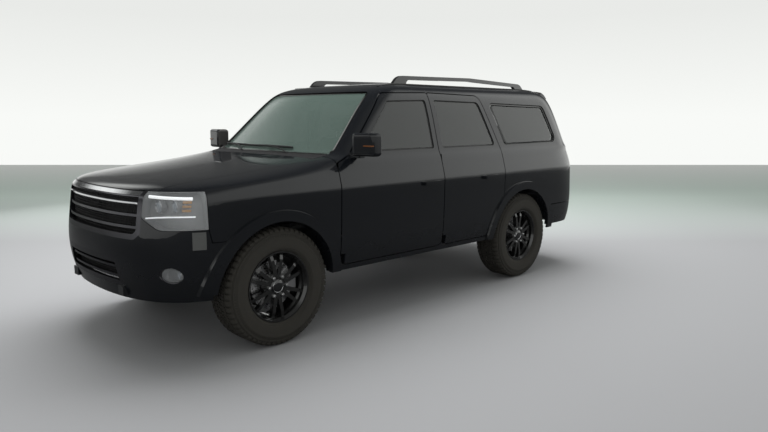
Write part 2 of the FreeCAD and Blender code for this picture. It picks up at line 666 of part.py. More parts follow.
# Arch flares: raised bands round the wheel arches
proud = body_tube(-flare_stand_out, 0)
close_to_skin = body_tube(-seat_gap, 0)
flares = []
for axle_x in (front_axle_x, rear_axle_x):
    foot, lip = half_width - 160, half_width + flare_stand_out + 30
    cone = Part.makeCone(arch_radius + flare_width + 60, arch_radius + flare_width - 4, lip - foot,
                         Vector(axle_x, foot, axle_height), Vector(0, 1, 0))
    ring = cone.cut(disc_y(axle_x, axle_height, arch_radius - 2, foot - 1, lip + 1))
    ring = ring.common(block(axle_x - 600, axle_x + 600, 300, 1300, sill_height, 1300))
    flares += both_sides(proud.common(ring).cut(close_to_skin))
save("arch_flares", *flares)


# Roof rails: a long bow on three feet, either side
def rail_bow(y):
    top = roof_height + rail_height
    outline = [(120, roof_height - 46, 20), (40, top - 14, 120), (-900, top, 800), (-1700, top - 30, 120),
               (-1800, roof_height - 60, 20), (-1660, roof_height - 60, 10), (-1600, top - 58, 40),
               (-900, top - 32, 800), (-20, top - 46, 40), (-60, roof_height - 46, 10)]
    return prism_y(outline, y - 17, y + 17)


rail = rail_bow(rail_y).cut(close_to_skin)
save("roof_rails", *both_sides(rail))

# Floor: firewall, cabin floor and a raised load floor, round the rear wheelhouses
print("floor and frame")
under_floor = floor_height - floor_thickness
under_load_floor = load_floor_height - floor_thickness
floor_step_x = -850.0
load_floor_end_x = -2335.0
floor_view = [
    (firewall_x + floor_thickness, 1130, 20), (firewall_x, 1130, 0), (firewall_x, floor_height, 60),
    (floor_step_x, floor_height, 30), (floor_step_x, load_floor_height, 30), (load_floor_end_x, load_floor_height, 0),
    (load_floor_end_x, under_load_floor, 0), (floor_step_x - floor_thickness, under_load_floor, 30),
    (floor_step_x - floor_thickness, under_floor, 30), (firewall_x + floor_thickness, under_floor, 60)]
floor_half_width = cabin_half_width - seat_gap
floor = prism_y(floor_view, -floor_half_width, floor_half_width)
wheelhouse_room = disc_y(rear_axle_x, axle_height, arch_radius + liner_thickness + seat_gap,
                         wheelhouse_y - liner_thickness - seat_gap, 1000)
tail_room = block(-2400, -2180, tailgate_half_width - 4, 1000, 600, 900)
narrower = side_core(wall_depth_below + seat_gap, wall_depth_above + seat_gap)
firewall_corner = block(firewall_x - 10, firewall_x + 40, 700, 900, 1000, 1200).cut(narrower)
for room in both_sides(wheelhouse_room) + both_sides(tail_room) + both_sides(firewall_corner):
    floor = floor.cut(room)
floor = floor.common(body_tube(gate_thickness + 5, gate_thickness))
save("floor_pan", floor)

lower_arm_z, upper_arm_z = axle_height - 139, axle_height + 144
# Ladder frame: two rails that kick up over the axles, with crossmembers and body mounts
rail_top = [
    (frame_front_x, 560, 0), (1900, 560, 120), (1720, 600, 120), (1290, 600, 120), (1060, 440, 120), (-880, 440, 120),
    (-1060, 625, 120), (-1560, 625, 120), (-1760, 560, 120), (frame_rear_x, 560, 0)]
rail_view = rail_top + [(x, z - rail_depth, r) for x, z, r in reversed(rail_top)]
spread = rail_rear_spread
joint_x = -1500.0
front_rail = prism_y(rail_view, rail_inner_y, rail_outer_y).common(block(joint_x - 60, 2400, 0, 600, 200, 800))
rear_rail = prism_y(rail_view, rail_inner_y + spread, rail_outer_y + spread)
rear_rail = rear_rail.common(block(-2400, joint_x, 0, 600, 200, 800))
frame = front_rail.fuse(rear_rail)
shock_tower = block(1545, 1625, rail_outer_y - 5, 560, 700, 780).fuse(block(1545, 1625, rail_outer_y - 35, rail_outer_y + 8, 590, 780))
frame = frame.fuse(shock_tower)
for x in (900, -100, -740):
    frame = frame.fuse(block(x - 40, x + 40, rail_outer_y - 5, 580, 395, 440))
    frame = frame.fuse(upright(x, 540, 34, 440, under_floor - seat_gap))
for x, low, y in ((-1150, 615, 387), (-1450, 615, 387), (-2150, 550, 387 + spread)):
    frame = frame.fuse(upright(x, y, 34, low, under_load_floor - seat_gap))
frame = frame.fuse(block(rear_axle_x - 60, rear_axle_x + 60, rail_outer_y - 5, spring_y + 60, 585, 620))
ladder = frame.fuse(mirrored(frame))
for x0, x1, half, z0, z1 in (
        (2180, 2240, 355, 455, 545), (1430, 1590, 425, lower_arm_z + 22, 332), (400, 470, 355, 325, 352),
        (-1130, -1070, 355, 572, 620), (-1900, -1840, 487, 672, 700), (frame_rear_x, frame_rear_x + 14, 487, 445, 555)):
    ladder = ladder.fuse(block(x0, x1, -half, half, z0, z1))
for side in (-1, 1):
    inner, outer_y = sorted((side * 351, side * 424))
    for x in (front_axle_x - 40, front_axle_x + 22):
        ladder = ladder.fuse(block(x, x + 18, inner, outer_y, lower_arm_z + 22, 500))
    inner, outer_y = sorted((side * 413, side * 486))
    ladder = ladder.fuse(block(-1900, -1840, inner, outer_y, 540, 700))
spare_x, spare_z = -1870.0, 532.0
ladder = ladder.fuse(upright(spare_x, 0, hub_bore_radius - running_fit, spare_z + 20, 680))
save("ladder_frame", ladder)


# Wheels, drawn about the Y axis at the origin, the outside towards +Y
def turned(points):
    """A ring whose section is (radius, y, corner radius) points, turned about the Y axis."""
    wire = rounded_wire(points, lambda u, v: Vector(u, v, 0))
    return Part.Face(wire).revolve(Vector(0, 0, 0), Vector(0, 1, 0), 360)


def wheel_rim():
    r, w = rim_diameter / 2, rim_width / 2
    seat = r - 17
    rim = turned([
        (r - 10, -w, 0), (r, -w, 0), (r, -w + 10, 0), (seat, -w + 17, 0), (seat, -w + 52, 0), (seat - 11, -w + 62, 0),
        (seat - 11, w - 62, 0), (seat, w - 48, 0), (seat, w - 17, 0), (r, w - 10, 0), (r, w, 0), (r - 9, w, 0),
        (r - 23, w - 20, 0), (seat - 8, w - 46, 0), (seat - 19, w - 62, 0), (seat - 19, -w + 62, 0),
        (seat - 8, -w + 50, 0), (seat - 8, -w + 20, 0)])
    disc = turned([(hub_bore_radius, brake_disc_y, 0), (brake_disc_radius, brake_disc_y, 0),
                   (brake_disc_radius, brake_disc_y + 20, 0), (90, brake_disc_y + 20, 0), (90, 80, 6), (0, 80, 0),
                   (0, 72, 0), (hub_bore_radius, 72, 0)])
    for i in range(stud_count):
        angle = math.radians(360 / stud_count * (i + 0.5))
        disc = disc.cut(disc_y(stud_circle_radius * math.cos(angle), stud_circle_radius * math.sin(angle), 8, 40, 90))
    rim = rim.fuse(disc)
    reach = r - 24
    for i in range(spoke_pairs):
        for lean in (-spoke_lean, spoke_lean):
            spoke = prism_y([(-15, 60, 0), (15, 60, 0), (11, reach, 0), (-11, reach, 0)], 46, 84)
            shave = Part.makeCone(reach + 60, 60, 60, Vector(0, 58, 0), Vector(0, 1, 0))
            spoke = spoke.common(shave.fuse(disc_y(0, 0, 400, 0, 58)))
            spoke.rotate(Vector(0, 0, 0), Vector(0, 1, 0), 360 / spoke_pairs * i + lean)
            rim = rim.fuse(spoke)
    return rim


def tyre():
    r, seat = tyre_diameter / 2, rim_diameter / 2 - 17 + seat_gap
    w, half = tyre_width / 2, rim_width / 2
    flange = half - 10 - 1
    outside = [(seat, flange - 8, 0), (rim_diameter / 2 + 2, flange - 1, 0), (rim_diameter / 2 + 8, w - 16, 12),
               (r - 95, w, 60), (r - 28, w - 10, 50), (r - 4, w - 30, 16), (r, w - 75, 0)]
    inside = [(r - 16, w - 45, 0), (r - 50, w - 22, 0), (r - 95, w - 13, 0), (rim_diameter / 2 + 20, w - 30, 0),
              (seat + 14, half - 42, 0), (seat, half - 46, 0)]
    flip = [[(u, -v, c) for u, v, c in reversed(side)] for side in (outside, inside)]
    return turned(outside + flip[0] + flip[1] + inside)


def at(shape, x, y, z):
    return shape.translated(Vector(x, y, z))


print("wheels and axles")
rim_left, tyre_left = wheel_rim(), tyre()
for end, axle_x in (("front", front_axle_x), ("rear", rear_axle_x)):
    for name, shape in (("rim", rim_left), ("tyre", tyre_left)):
        placed = at(shape, axle_x, hub_y, axle_height)
        save(f"{name}_{end}_left", placed)
        save(f"{name}_{end}_right", mirrored(placed))
spare = tyre_left.fuse(turned([
    (hub_bore_radius, 20, 0), (120, 20, 20), (150, 60, 20), (rim_diameter / 2 - 16, 60, 0),
    (rim_diameter / 2 - 16, -80, 0), (rim_diameter / 2 - 28, -80, 0), (rim_diameter / 2 - 28, 46, 20),
    (160, 46, 20), (130, 6, 20), (hub_bore_radius, 6, 0)]))
spare.rotate(Vector(0, 0, 0), Vector(1, 0, 0), 90)
save("spare_wheel", at(spare, spare_x, 0, spare_z))


def spindle(x):
    """The stub that a wheel's hub bore turns on."""
    return disc_y(x, axle_height, hub_bore_radius - running_fit, hub_y - 30, hub_y + 72 - 0.5)


def caliper(x):
    """A brake caliper that straddles the wheel's brake disc behind the axle."""
    y = hub_y + brake_disc_y
    body = prism_y([(x - 182, axle_height - 55, 20), (x - 112, axle_height - 62, 15), (x - 112, axle_height + 62, 15),
                    (x - 182, axle_height + 55, 20)], y - 32, y + 44)
    return body.cut(disc_y(x, axle_height, brake_disc_radius + 6, y - 6, y + 26))


def half_turned(x, y):
    """Room for the inner joint of a drive shaft that the knuckle turns round."""
    ball = Part.makeSphere(cv_ball_radius + 5, Vector(x, y, axle_height))
    return ball.fuse(Part.makeCone(cv_ball_radius, cv_ball_radius + 30, 50, Vector(x, y, axle_height), Vector(0, -1, 0)))


# Front corner: knuckle, arms and strut
knuckle = disc_y(front_axle_x, axle_height, 75, kingpin_y - 25, hub_y + brake_disc_y - 8)
post = prism_y([(front_axle_x - 30, axle_height - knuckle_reach, 12), (front_axle_x + 30, axle_height - knuckle_reach, 12),
                (front_axle_x + 30, axle_height + knuckle_reach, 12), (front_axle_x - 30, axle_height + knuckle_reach, 12)],
               kingpin_y - 25, kingpin_y + 25)
bridge = block(front_axle_x - 150, front_axle_x, kingpin_y - 10, kingpin_y + 20, axle_height - 35, axle_height + 35)
steer_arm = block(front_axle_x + 20, front_axle_x + 130, kingpin_y - 25, kingpin_y + 3, axle_height - 62, axle_height - 38)
knuckle = knuckle.fuse(post).fuse(bridge).fuse(steer_arm).fuse(caliper(front_axle_x)).fuse(spindle(front_axle_x))
knuckle = knuckle.cut(half_turned(front_axle_x, kingpin_y))
for low, high in ((axle_height - knuckle_reach, axle_height - knuckle_reach + 30.5),
                  (axle_height + knuckle_reach - 30.5, axle_height + knuckle_reach)):
    knuckle = knuckle.cut(upright(front_axle_x, kingpin_y, ball_pin_radius + running_fit, low, high))
save("knuckle_left", knuckle)
save("knuckle_right", mirrored(knuckle))

arm_in_y = 345.0
lower_arm = prism_z([(1395, arm_in_y, 0), (1640, arm_in_y, 0), (1622, 610, 30), (1545, 785, 30), (1475, 785, 30),
                     (1430, 600, 60)], lower_arm_z - 14, lower_arm_z + 14)
lower_arm = lower_arm.cut(prism_z([(1460, 400, 20), (1570, 400, 20), (1540, 560, 20), (1480, 560, 20)], 200, 280))
lower_arm = lower_arm.fuse(rod(Vector(1390, arm_in_y, lower_arm_z), Vector(1645, arm_in_y, lower_arm_z), 22 - seat_gap))
low_pin = upright(front_axle_x, kingpin_y, ball_pin_radius, lower_arm_z, axle_height - knuckle_reach + 30)
strut_foot, strut_head = Vector(1585, 588, lower_arm_z + 8), Vector(1585, 512, 699.7)
strut = rod(strut_foot, strut_head + Vector(0, 8, -50), 24)
middle = strut_foot + (strut_head - strut_foot) * 0.42
spring = Part.makeCylinder(44, 225, middle, strut_head - strut_foot)
strut = strut.fuse(spring).fuse(Part.makeCylinder(30, 60, Vector(1585, 512, 639.7)))
upper_arm = prism_z([(1425, 445, 0), (1530, 445, 0), (1536, 600, 60), (1545, 780, 30), (1475, 780, 30), (1450, 600, 60)],
                    upper_arm_z - 11, upper_arm_z + 11)
upper_arm = upper_arm.fuse(rod(Vector(1415, rail_outer_y + 20, upper_arm_z), Vector(1535, rail_outer_y + 20, upper_arm_z), 20 - seat_gap))
high_pin = upright(front_axle_x, kingpin_y, ball_pin_radius, axle_height + knuckle_reach - 30, upper_arm_z)
save("front_suspension", *both_sides(lower_arm.fuse(low_pin).fuse(strut)), *both_sides(upper_arm.fuse(high_pin)))

# Rear axle with springs, shock absorbers and links
rear_axle = disc_y(rear_axle_x, axle_height, 45, -hub_y + 60, hub_y - 60)
rear_axle = rear_axle.fuse(Part.makeSphere(138, Vector(rear_axle_x, 0, axle_height)))
nose_cone = Part.makeCone(95, 60, 130, Vector(rear_axle_x + 70, 0, axle_height), Vector(1, 0, 0))
rear_axle = rear_axle.fuse(nose_cone)
half_axle = disc_y(rear_axle_x, axle_height, 118, hub_y - 62, hub_y + brake_disc_y - 8)
half_axle = half_axle.fuse(block(rear_axle_x - 150, rear_axle_x, hub_y - 60, hub_y - 30, axle_height - 35, axle_height + 35))
half_axle = half_axle.fuse(caliper(rear_axle_x)).fuse(spindle(rear_axle_x))
half_axle = half_axle.fuse(upright(rear_axle_x, spring_y, 62, axle_height + 20, axle_height + 56))
half_axle = half_axle.fuse(upright(rear_axle_x, spring_y, 48, axle_height + 50, 585 - seat_gap))
link_end = Vector(-640, rail_outer_y + 26, 362)
half_axle = half_axle.fuse(rod(Vector(rear_axle_x, 470, 350), link_end, 17))
half_axle = half_axle.fuse(disc_y(link_end.x, link_end.z, 26, rail_outer_y + seat_gap, rail_outer_y + 48))
half_axle = half_axle.fuse(block(rear_axle_x - 30, rear_axle_x + 30, 445, 495, 330, 400))
shock_top = Vector(-1420, 455, 585)
half_axle = half_axle.fuse(rod(Vector(-1345, 565, 365), shock_top + Vector(0, 30, 0), 22))
half_axle = half_axle.fuse(disc_y(shock_top.x, shock_top.z, 22, rail_outer_y + seat_gap, shock_top.y + 45))
half_axle = half_axle.fuse(block(-1365, rear_axle_x, 545, 585, 350, 380))
save("rear_axle", rear_axle.fuse(half_axle).fuse(mirrored(half_axle)))

# Engine, gearbox, drive shafts: plain masses at their real places
engine = prism_x([(-230, 470, 60), (230, 470, 60), (290, 700, 40), (270, 985, 60), (-270, 985, 60), (-290, 700, 40)], 1120, 1740)
gearbox = Part.makeCone(150, 88, 620, Vector(1125, 0, 520 - 60), Vector(-1, 0, 0)).common(block(0, 1200, -300, 300, 352.3, 484))
gearbox = gearbox.fuse(block(230, 520, -120, 120, 352 + seat_gap, 470))
shaft = rod(Vector(240, 0, axle_height), Vector(rear_axle_x + 200 + seat_gap, 0, axle_height), 36)
front_diff = rod(Vector(1420, 60, axle_height), Vector(1610, 60, axle_height), 62)
front_diff = front_diff.fuse(block(1440, 1580, 10, 110, 395, 480))
powertrain = engine.fuse(gearbox).fuse(shaft).fuse(front_diff)
powertrain = powertrain.fuse(disc_y(front_axle_x, axle_height, 14, -kingpin_y, kingpin_y))
for side in (-1, 1):
    powertrain = powertrain.fuse(Part.makeSphere(cv_ball_radius, Vector(front_axle_x, side * kingpin_y, axle_height)))
    powertrain = powertrain.fuse(disc_y(front_axle_x, axle_height, 46, *sorted((side * 150, side * 240))))
    powertrain = powertrain.fuse(block(1400, 1500, *sorted((side * 200, side * (rail_inner_y - seat_gap))), 520, 570))
save("powertrain", powertrain)

tank = prism_x([(72, 330, 40), (rail_inner_y - seat_gap, 330, 30), (rail_inner_y - seat_gap, 445, 30), (72, 455, 40)], -840, 60)
save("fuel_tank", tank)


def pipe(points, radius):
    """Straight pipe runs with a ball at each bend."""
    run = rod(points[0], points[1], radius)
    for start, end in zip(points[1:], points[2:]):
        run = run.fuse(Part.makeSphere(radius, start)).fuse(rod(start, end, radius))
    return run


exhaust = pipe([Vector(1000, -205, 420), Vector(900, -215, 395), Vector(-250, -215, 385)], 27)
exhaust = exhaust.fuse(prism_x([(-310, 320, 50), (-120, 320, 50), (-120, 445, 50), (-310, 445, 50)], -830, -250))
exhaust = exhaust.fuse(pipe([
    Vector(-820, -220, 385), Vector(-1060, -235, 500), Vector(-1290, -235, 505), Vector(-1400, -270, 462),
    Vector(-1600, -545, 425), Vector(-2300, -560, 418)], 24))
exhaust = exhaust.fuse(block(-560, -520, -rail_inner_y + seat_gap, -300, 360, 400))
save("exhaust", exhaust)

# Inside: seats and dashboard
print("inside")


def seat(x, y, width, back_top):
    """A cushion and back in one rounded side outline, with a head restraint and a base."""
    low = 690
    outline = [(x + 480, low, 40), (x + 500, 800, 45), (x + 30, 822, 70), (x - 110, back_top, 40),
               (x - 205, back_top - 10, 40), (x - 120, low, 50)]
    shape = prism_y(outline, y - width / 2, y + width / 2)
    return shape.fuse(block(x - 60, x + 400, y - width / 2 + 50, y + width / 2 - 50, floor_height + seat_gap, low + 10))


def head_rest(x, y, z):
    rest = prism_y([(x - 100, z + 40, 25), (x - 112, z + 190, 35), (x - 195, z + 185, 30), (x - 190, z + 35, 25)], y - 125, y + 125)
    posts = [upright(x - 150, y + side * 60, 8, z - 40, z + 60) for side in (-1, 1)]
    return rest.fuse(posts[0]).fuse(posts[1])


driver = seat(20, 375, 520, 1370).fuse(head_rest(20, 375, 1350))
bench_x = -745
bench = seat(bench_x, 0, 1300, 1360).cut(block(-1200, floor_step_x + 1, -700, 700, 400, load_floor_height + seat_gap))
for y in (-420, 0, 420):
    bench = bench.fuse(head_rest(bench_x, y, 1340))
save("seats", *both_sides(driver), bench)

dash = prism_y([(firewall_x - seat_gap, 760, 0), (firewall_x - seat_gap, 1120, 0), (935, 1205, 20), (760, 1195, 60),
                (655, 1130, 40), (665, 1010, 40), (790, 930, 60), (820, 760, 20)], -775, 775)
console = prism_z([(840, -130, 20), (840, 130, 20), (560, 108, 60), (-90, 108, 30), (-90, -108, 30), (560, -108, 60)],
                  floor_height + seat_gap, 770)
console = console.cut(prism_y([(-200, 740, 0), (480, 740, 0), (640, 800, 0), (-200, 800, 0)], -300, 300))
wheel_centre = Vector(585, 375, 1085)
lean = Vector(-math.cos(math.radians(24)), 0, math.sin(math.radians(24)))
steering_wheel = Part.makeTorus(183, 15, wheel_centre, lean)
steering_wheel = steering_wheel.fuse(Part.makeCylinder(62, 40, wheel_centre + lean * -30, lean))
for angle in (0, 120, 240):
    out = Vector(0, 1, 0) * math.cos(math.radians(angle + 90)) + lean.cross(Vector(0, 1, 0)) * math.sin(math.radians(angle + 90))
    steering_wheel = steering_wheel.fuse(rod(wheel_centre + lean * -12, wheel_centre + lean * -2 + out * 183, 11))
column = rod(wheel_centre + lean * -25, wheel_centre + lean * -240, 38)
save("dashboard", dash.fuse(console).fuse(column).fuse(steering_wheel))
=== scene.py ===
# %% [markdown]
# # A black five-door off-roader, dressed for a studio picture
# The construction comes in as a fixed frame: doors, panels, wheels and chassis at their real size.
# This lesson gives every surface its finish and adds what is too fine for the construction model:
# tread, seals, lamp internals, wipers, padded seats with stitching, and the rear quarter panes.
# All lengths are metres. +X is forward, +Y is the vehicle's left and +Z is up, with the floor at z = 0.

# %% Load the frame and its joints
import json
import math

import bmesh
import bpy
import numpy as np
from mathutils import Matrix, Vector
from mathutils.bvhtree import BVHTree


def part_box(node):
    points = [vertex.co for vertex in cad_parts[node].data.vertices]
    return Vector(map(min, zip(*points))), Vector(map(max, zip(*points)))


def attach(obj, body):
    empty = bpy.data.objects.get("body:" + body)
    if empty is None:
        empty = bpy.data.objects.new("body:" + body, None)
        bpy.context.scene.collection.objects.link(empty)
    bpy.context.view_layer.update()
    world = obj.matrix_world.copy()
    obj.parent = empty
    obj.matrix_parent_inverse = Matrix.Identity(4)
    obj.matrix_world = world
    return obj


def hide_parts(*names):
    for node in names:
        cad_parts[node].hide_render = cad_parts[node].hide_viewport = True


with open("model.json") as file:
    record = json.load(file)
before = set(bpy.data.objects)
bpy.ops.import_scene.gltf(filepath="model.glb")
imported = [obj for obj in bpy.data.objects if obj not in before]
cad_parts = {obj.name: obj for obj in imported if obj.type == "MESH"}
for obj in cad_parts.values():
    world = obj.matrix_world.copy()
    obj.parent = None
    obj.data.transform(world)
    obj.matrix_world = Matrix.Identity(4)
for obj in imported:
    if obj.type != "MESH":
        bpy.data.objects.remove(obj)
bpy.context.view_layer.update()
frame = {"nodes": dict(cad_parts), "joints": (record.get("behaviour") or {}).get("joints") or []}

nodes = frame["nodes"]
joints = {joint["name"]: joint for joint in frame["joints"]}

# %% [markdown]
# ## Sizes that everything else hangs on
# The hubs and the tyre's and rim's sizes are measured on the frame itself, so the dress follows the
# construction when it changes. The car's sides are named once, with the sign of their Y.

# %% Measure the wheels
sides = {"left": 1, "right": -1}
car_corners = [f"{end}_{side_name}" for end in ("front", "rear") for side_name in sides]
wheel_bodies = {f"wheel_{corner}": Vector(joints[f"wheel_{corner}_spin"]["pos_m"]) for corner in car_corners}
tyre_low, tyre_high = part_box("tyre_front_left")
tyre_radius = (tyre_high.z - tyre_low.z) / 2
tyre_width = tyre_high.y - tyre_low.y
rim_low, rim_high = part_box("rim_front_left")
rim_radius = (rim_high.z - rim_low.z) / 2
print(f"tyre {tyre_radius * 2:.3f} x {tyre_width:.3f}, rim {rim_radius * 2:.3f}")

# %% [markdown]
# ## Shader maths as plain expressions
# A material is a graph of nodes. Written node by node it is hard to read, so one small class wraps a node's
# output: adding, multiplying or comparing two of them adds the Math nodes. Everything else goes through one
# method, `node`, that takes the type, the settings and the inputs.

# %% A socket that can be added and multiplied
def put(tree, target, value):
    """Links a wire to an input socket, or writes a plain value on it."""
    if isinstance(value, Wire):
        tree.links.new(value.output, target)
    elif value is not None:
        target.default_value = value


class Wire:
    """One output of a node. Arithmetic on it adds Math nodes."""

    def __init__(self, tree, output):
        self.tree = tree
        self.output = output

    def math(self, operation, *values):
        node = self.tree.nodes.new("ShaderNodeMath")
        node.operation = operation
        for target, value in zip(node.inputs, values):
            put(self.tree, target, value)
        return Wire(self.tree, node.outputs[0])

    def __add__(self, other):
        return self.math("ADD", self, other)

    def __sub__(self, other):
        return self.math("SUBTRACT", self, other)

    def __rsub__(self, other):
        return self.math("SUBTRACT", other, self)

    def __mul__(self, other):
        return self.math("MULTIPLY", self, other)

    def __gt__(self, other):
        return self.math("GREATER_THAN", self, other)

    def __lt__(self, other):
        return self.math("LESS_THAN", self, other)

    def absolute(self):
        return self.math("ABSOLUTE", self)

    def sine(self):
        return self.math("SINE", self)

    def at_most(self, other):
        return self.math("MINIMUM", self, other)

    def at_least(self, other):
        return self.math("MAXIMUM", self, other)

    def step(self, low, high):
        """0 below low, 1 above high and straight between."""
        node = self.tree.nodes.new("ShaderNodeMapRange")
        node.clamp = True
        for name, value in (("Value", self), ("From Min", low), ("From Max", high)):
            put(self.tree, node.inputs[name], value)
        return Wire(self.tree, node.outputs[0])


print("wires ready")

# %% A finish, which is a material under construction
class Finish:
    """A node material. Its Object coordinates are metres in the frame's own axes."""

    def __init__(self, name):
        self.material = bpy.data.materials.new(name)
        self.material.use_nodes = True
        self.tree = self.material.node_tree
        self.tree.nodes.clear()
        self.place = self.node("ShaderNodeTexCoord", output="Object")

    def node(self, kind, settings=None, inputs=None, output=0):
        """Adds one node: its settings first, then its inputs by name or number. Returns one output."""
        made = self.tree.nodes.new(kind)
        for name, value in (settings or {}).items():
            setattr(made, name, value)
        for name, value in (inputs or {}).items():
            put(self.tree, made.inputs[name], value)
        return Wire(self.tree, made.outputs[output])

    def split(self, vector):
        parts = self.node("ShaderNodeSeparateXYZ", inputs={0: vector}).output.node
        return [Wire(self.tree, output) for output in parts.outputs]

    def axes(self):
        """X, Y and Z of the place on the object."""
        return self.split(self.place)

    def facing(self):
        """X, Y and Z of the surface's own direction."""
        return self.split(self.node("ShaderNodeNewGeometry", output="Normal"))

    def noise(self, scale, detail=2.0, roughness=0.5):
        return self.node("ShaderNodeTexNoise", inputs={
            "Vector": self.place, "Scale": scale, "Detail": detail, "Roughness": roughness})

    def cells(self, scale):
        return self.node("ShaderNodeTexVoronoi", inputs={"Vector": self.place, "Scale": scale})

    def mix(self, share, low, high):
        """A colour between two colours. The colours are three numbers or wires."""
        colours = [value if isinstance(value, Wire) else (*value, 1) for value in (low, high)]
        return self.node("ShaderNodeMix", {"data_type": "RGBA"},
                         {"Factor": share, 6: colours[0], 7: colours[1]}, output=2)

    def bump(self, height, strength, distance):
        return self.node("ShaderNodeBump", inputs={
            "Height": height, "Strength": strength, "Distance": distance})

    def principled(self, colour, **values):
        """A Principled surface. Names use _ for spaces, and a wire may feed only what the export bakes."""
        inputs = {"Base Color": colour if isinstance(colour, Wire) else (*colour, 1)}
        inputs.update({name.replace("_", " "): value for name, value in values.items()})
        return self.node("ShaderNodeBsdfPrincipled", inputs=inputs)

    def blend(self, share, first, second):
        return self.node("ShaderNodeMixShader", inputs={0: share, 1: first, 2: second})

    def done(self, surface):
        out = self.tree.nodes.new("ShaderNodeOutputMaterial")
        self.tree.links.new(surface.output, out.inputs["Surface"])
        return self.material


print("shader helpers ready")

# %% [markdown]
# ## Camera
# The picture was taken from the front left at about standing height, a little below the roof.
# The camera's place, direction and focal length were worked out once from the tyres, the hood and the
# roof's corners, so here they are simply sizes of the studio.

# %% Put the camera where the photographer stood
def linked(name, data):
    """A new object in the scene."""
    piece = bpy.data.objects.new(name, data)
    bpy.context.scene.collection.objects.link(piece)
    return piece


camera_place = Vector((3.989, 4.469, 1.528))
camera_heading = math.radians(225.9)
camera_dip = math.radians(-8.6)
camera_lens = 30.86

camera_data = bpy.data.cameras.new("camera")
camera_data.lens = camera_lens
camera_data.sensor_width = 36.0
camera = linked("camera", camera_data)
ahead = Vector((math.cos(camera_heading), math.sin(camera_heading), 0))
look = ahead * math.cos(camera_dip) + Vector((0, 0, math.sin(camera_dip)))
camera.location = camera_place
camera.rotation_euler = look.to_track_quat("-Z", "Y").to_euler()
bpy.context.scene.camera = camera
print("camera looks along", [round(v, 3) for v in look])

# %% [markdown]
# ## Studio
# A black car is a mirror: what it shows is the room. The picture has a pale wall that meets the grey floor
# some twenty metres off. The hood is nearly black, so the room above the wall is dark. The doors are grey
# above their crease and black below it, so there is a bright bank behind the camera, and little light
# comes back from the floor: the floor that the paint mirrors is painted nearly black, as painted shade.
# The world below is that room: what the camera sees and what the paint reflects are set apart, because a
# real studio's flags and screens stand out of sight.

# %% Floor that ends where the wall begins
def mesh_piece(name, vertices, faces, finish, smooth=False):
    """A mesh object at the origin, with its place in its vertices."""
    mesh = bpy.data.meshes.new(name)
    mesh.from_pydata([tuple(v) for v in vertices], [], faces)
    mesh.validate()
    mesh.materials.append(finish)
    if smooth:
        mesh.polygons.foreach_set("use_smooth", [True] * len(mesh.polygons))
    return linked(name, mesh)


# The floor's colours are painted light falloff: darker near the camera, lighter towards the wall.
near_floor, floor_colour = (0.395, 0.398, 0.41), (0.39, 0.395, 0.405)
far_floor, wall_foot = (0.66, 0.76, 0.705), (0.97, 1.0, 0.98)
# Share of the floor's colour left in reflections; the rest is painted shade.
painted_shade_mirror_floor = 0.16
wall_distance, floor_behind, floor_left, floor_right = 21.0, 30.0, 45.0, 13.0
ground = Vector((camera_place.x, camera_place.y, 0))
across = Vector((-ahead.y, ahead.x, 0))
corners = [ground + ahead * a + across * b for a, b in
           ((-floor_behind, -floor_right), (-floor_behind, floor_left),
            (wall_distance, floor_left), (wall_distance, -floor_right))]
studio_floor = Finish("studio_floor")
x, y, _ = studio_floor.axes()
distance = (x - ground.x) * ahead.x + (y - ground.y) * ahead.y
# Painted light falloff: the floor is darker near the camera and lighter further off.
floor_with_painted_light = studio_floor.mix(distance.step(2.5, 6.5), near_floor, floor_colour)
floor_with_painted_light = studio_floor.mix(distance.step(8.0, 12.5), floor_with_painted_light, far_floor)
floor_with_painted_light = studio_floor.mix(distance.step(14.0, 20.0), floor_with_painted_light, wall_foot)
# In reflections the floor is painted nearly black: painted shade for the car's own shadow and the dark low
# room.
glossy = studio_floor.node("ShaderNodeLightPath", output="Is Glossy Ray")
floor_with_painted_light = studio_floor.mix(glossy * (1 - painted_shade_mirror_floor), floor_with_painted_light, (0.0, 0.0, 0.0))
floor_surface = studio_floor.principled(floor_with_painted_light, Roughness=0.6, Specular_IOR_Level=0.1)
floor = mesh_piece("floor", corners, [(0, 3, 2, 1)], studio_floor.done(floor_surface))
if floor.data.polygons[0].normal.z < 0:
    floor.data.flip_normals()
print("floor of", wall_distance + floor_behind, "by", floor_left + floor_right, "m")

# %% Ceiling light and side lights
def softbox(name, place, target, width, height, power):
    """A plain rectangular area light that looks at a point and isn't mirrored in the paint."""
    data = bpy.data.lights.new(name, "AREA")
    data.shape = "RECTANGLE"
    data.size, data.size_y, data.energy = width, height, power
    lamp = linked(name, data)
    lamp.location = place
    lamp.rotation_euler = (Vector(target) - Vector(place)).to_track_quat("-Z", "Y").to_euler()
    lamp.visible_glossy = False


softbox("ceiling_light", (-0.9, -1.2, 5.2), (-0.3, 0, 0), 7.0, 4.5, 520.0)
softbox("front_left_light", (6.5, 5.5, 2.6), (0.6, 0, 0.7), 3.0, 2.4, 35.0)
softbox("rear_light", (-7.0, 3.5, 2.8), (-1.0, 0, 0.8), 3.0, 2.4, 60.0)
softbox("right_light", (1.5, -7.0, 2.6), (0, 0, 0.8), 4.0, 2.2, 60.0)
print("lights:", len(bpy.data.lights))

# %% The room that the camera sees and the paint mirrors
world = bpy.data.worlds.new("studio")
world.use_nodes = True
bpy.context.scene.world = world
room = world.node_tree
room.nodes.clear()


def room_light(level):
    """A background whose strength is a wire or a number, in the room's slightly warm white."""
    made = room.nodes.new("ShaderNodeBackground")
    made.inputs["Color"].default_value = (0.985, 1.0, 0.975, 1)
    put(room, made.inputs["Strength"], level)
    return made


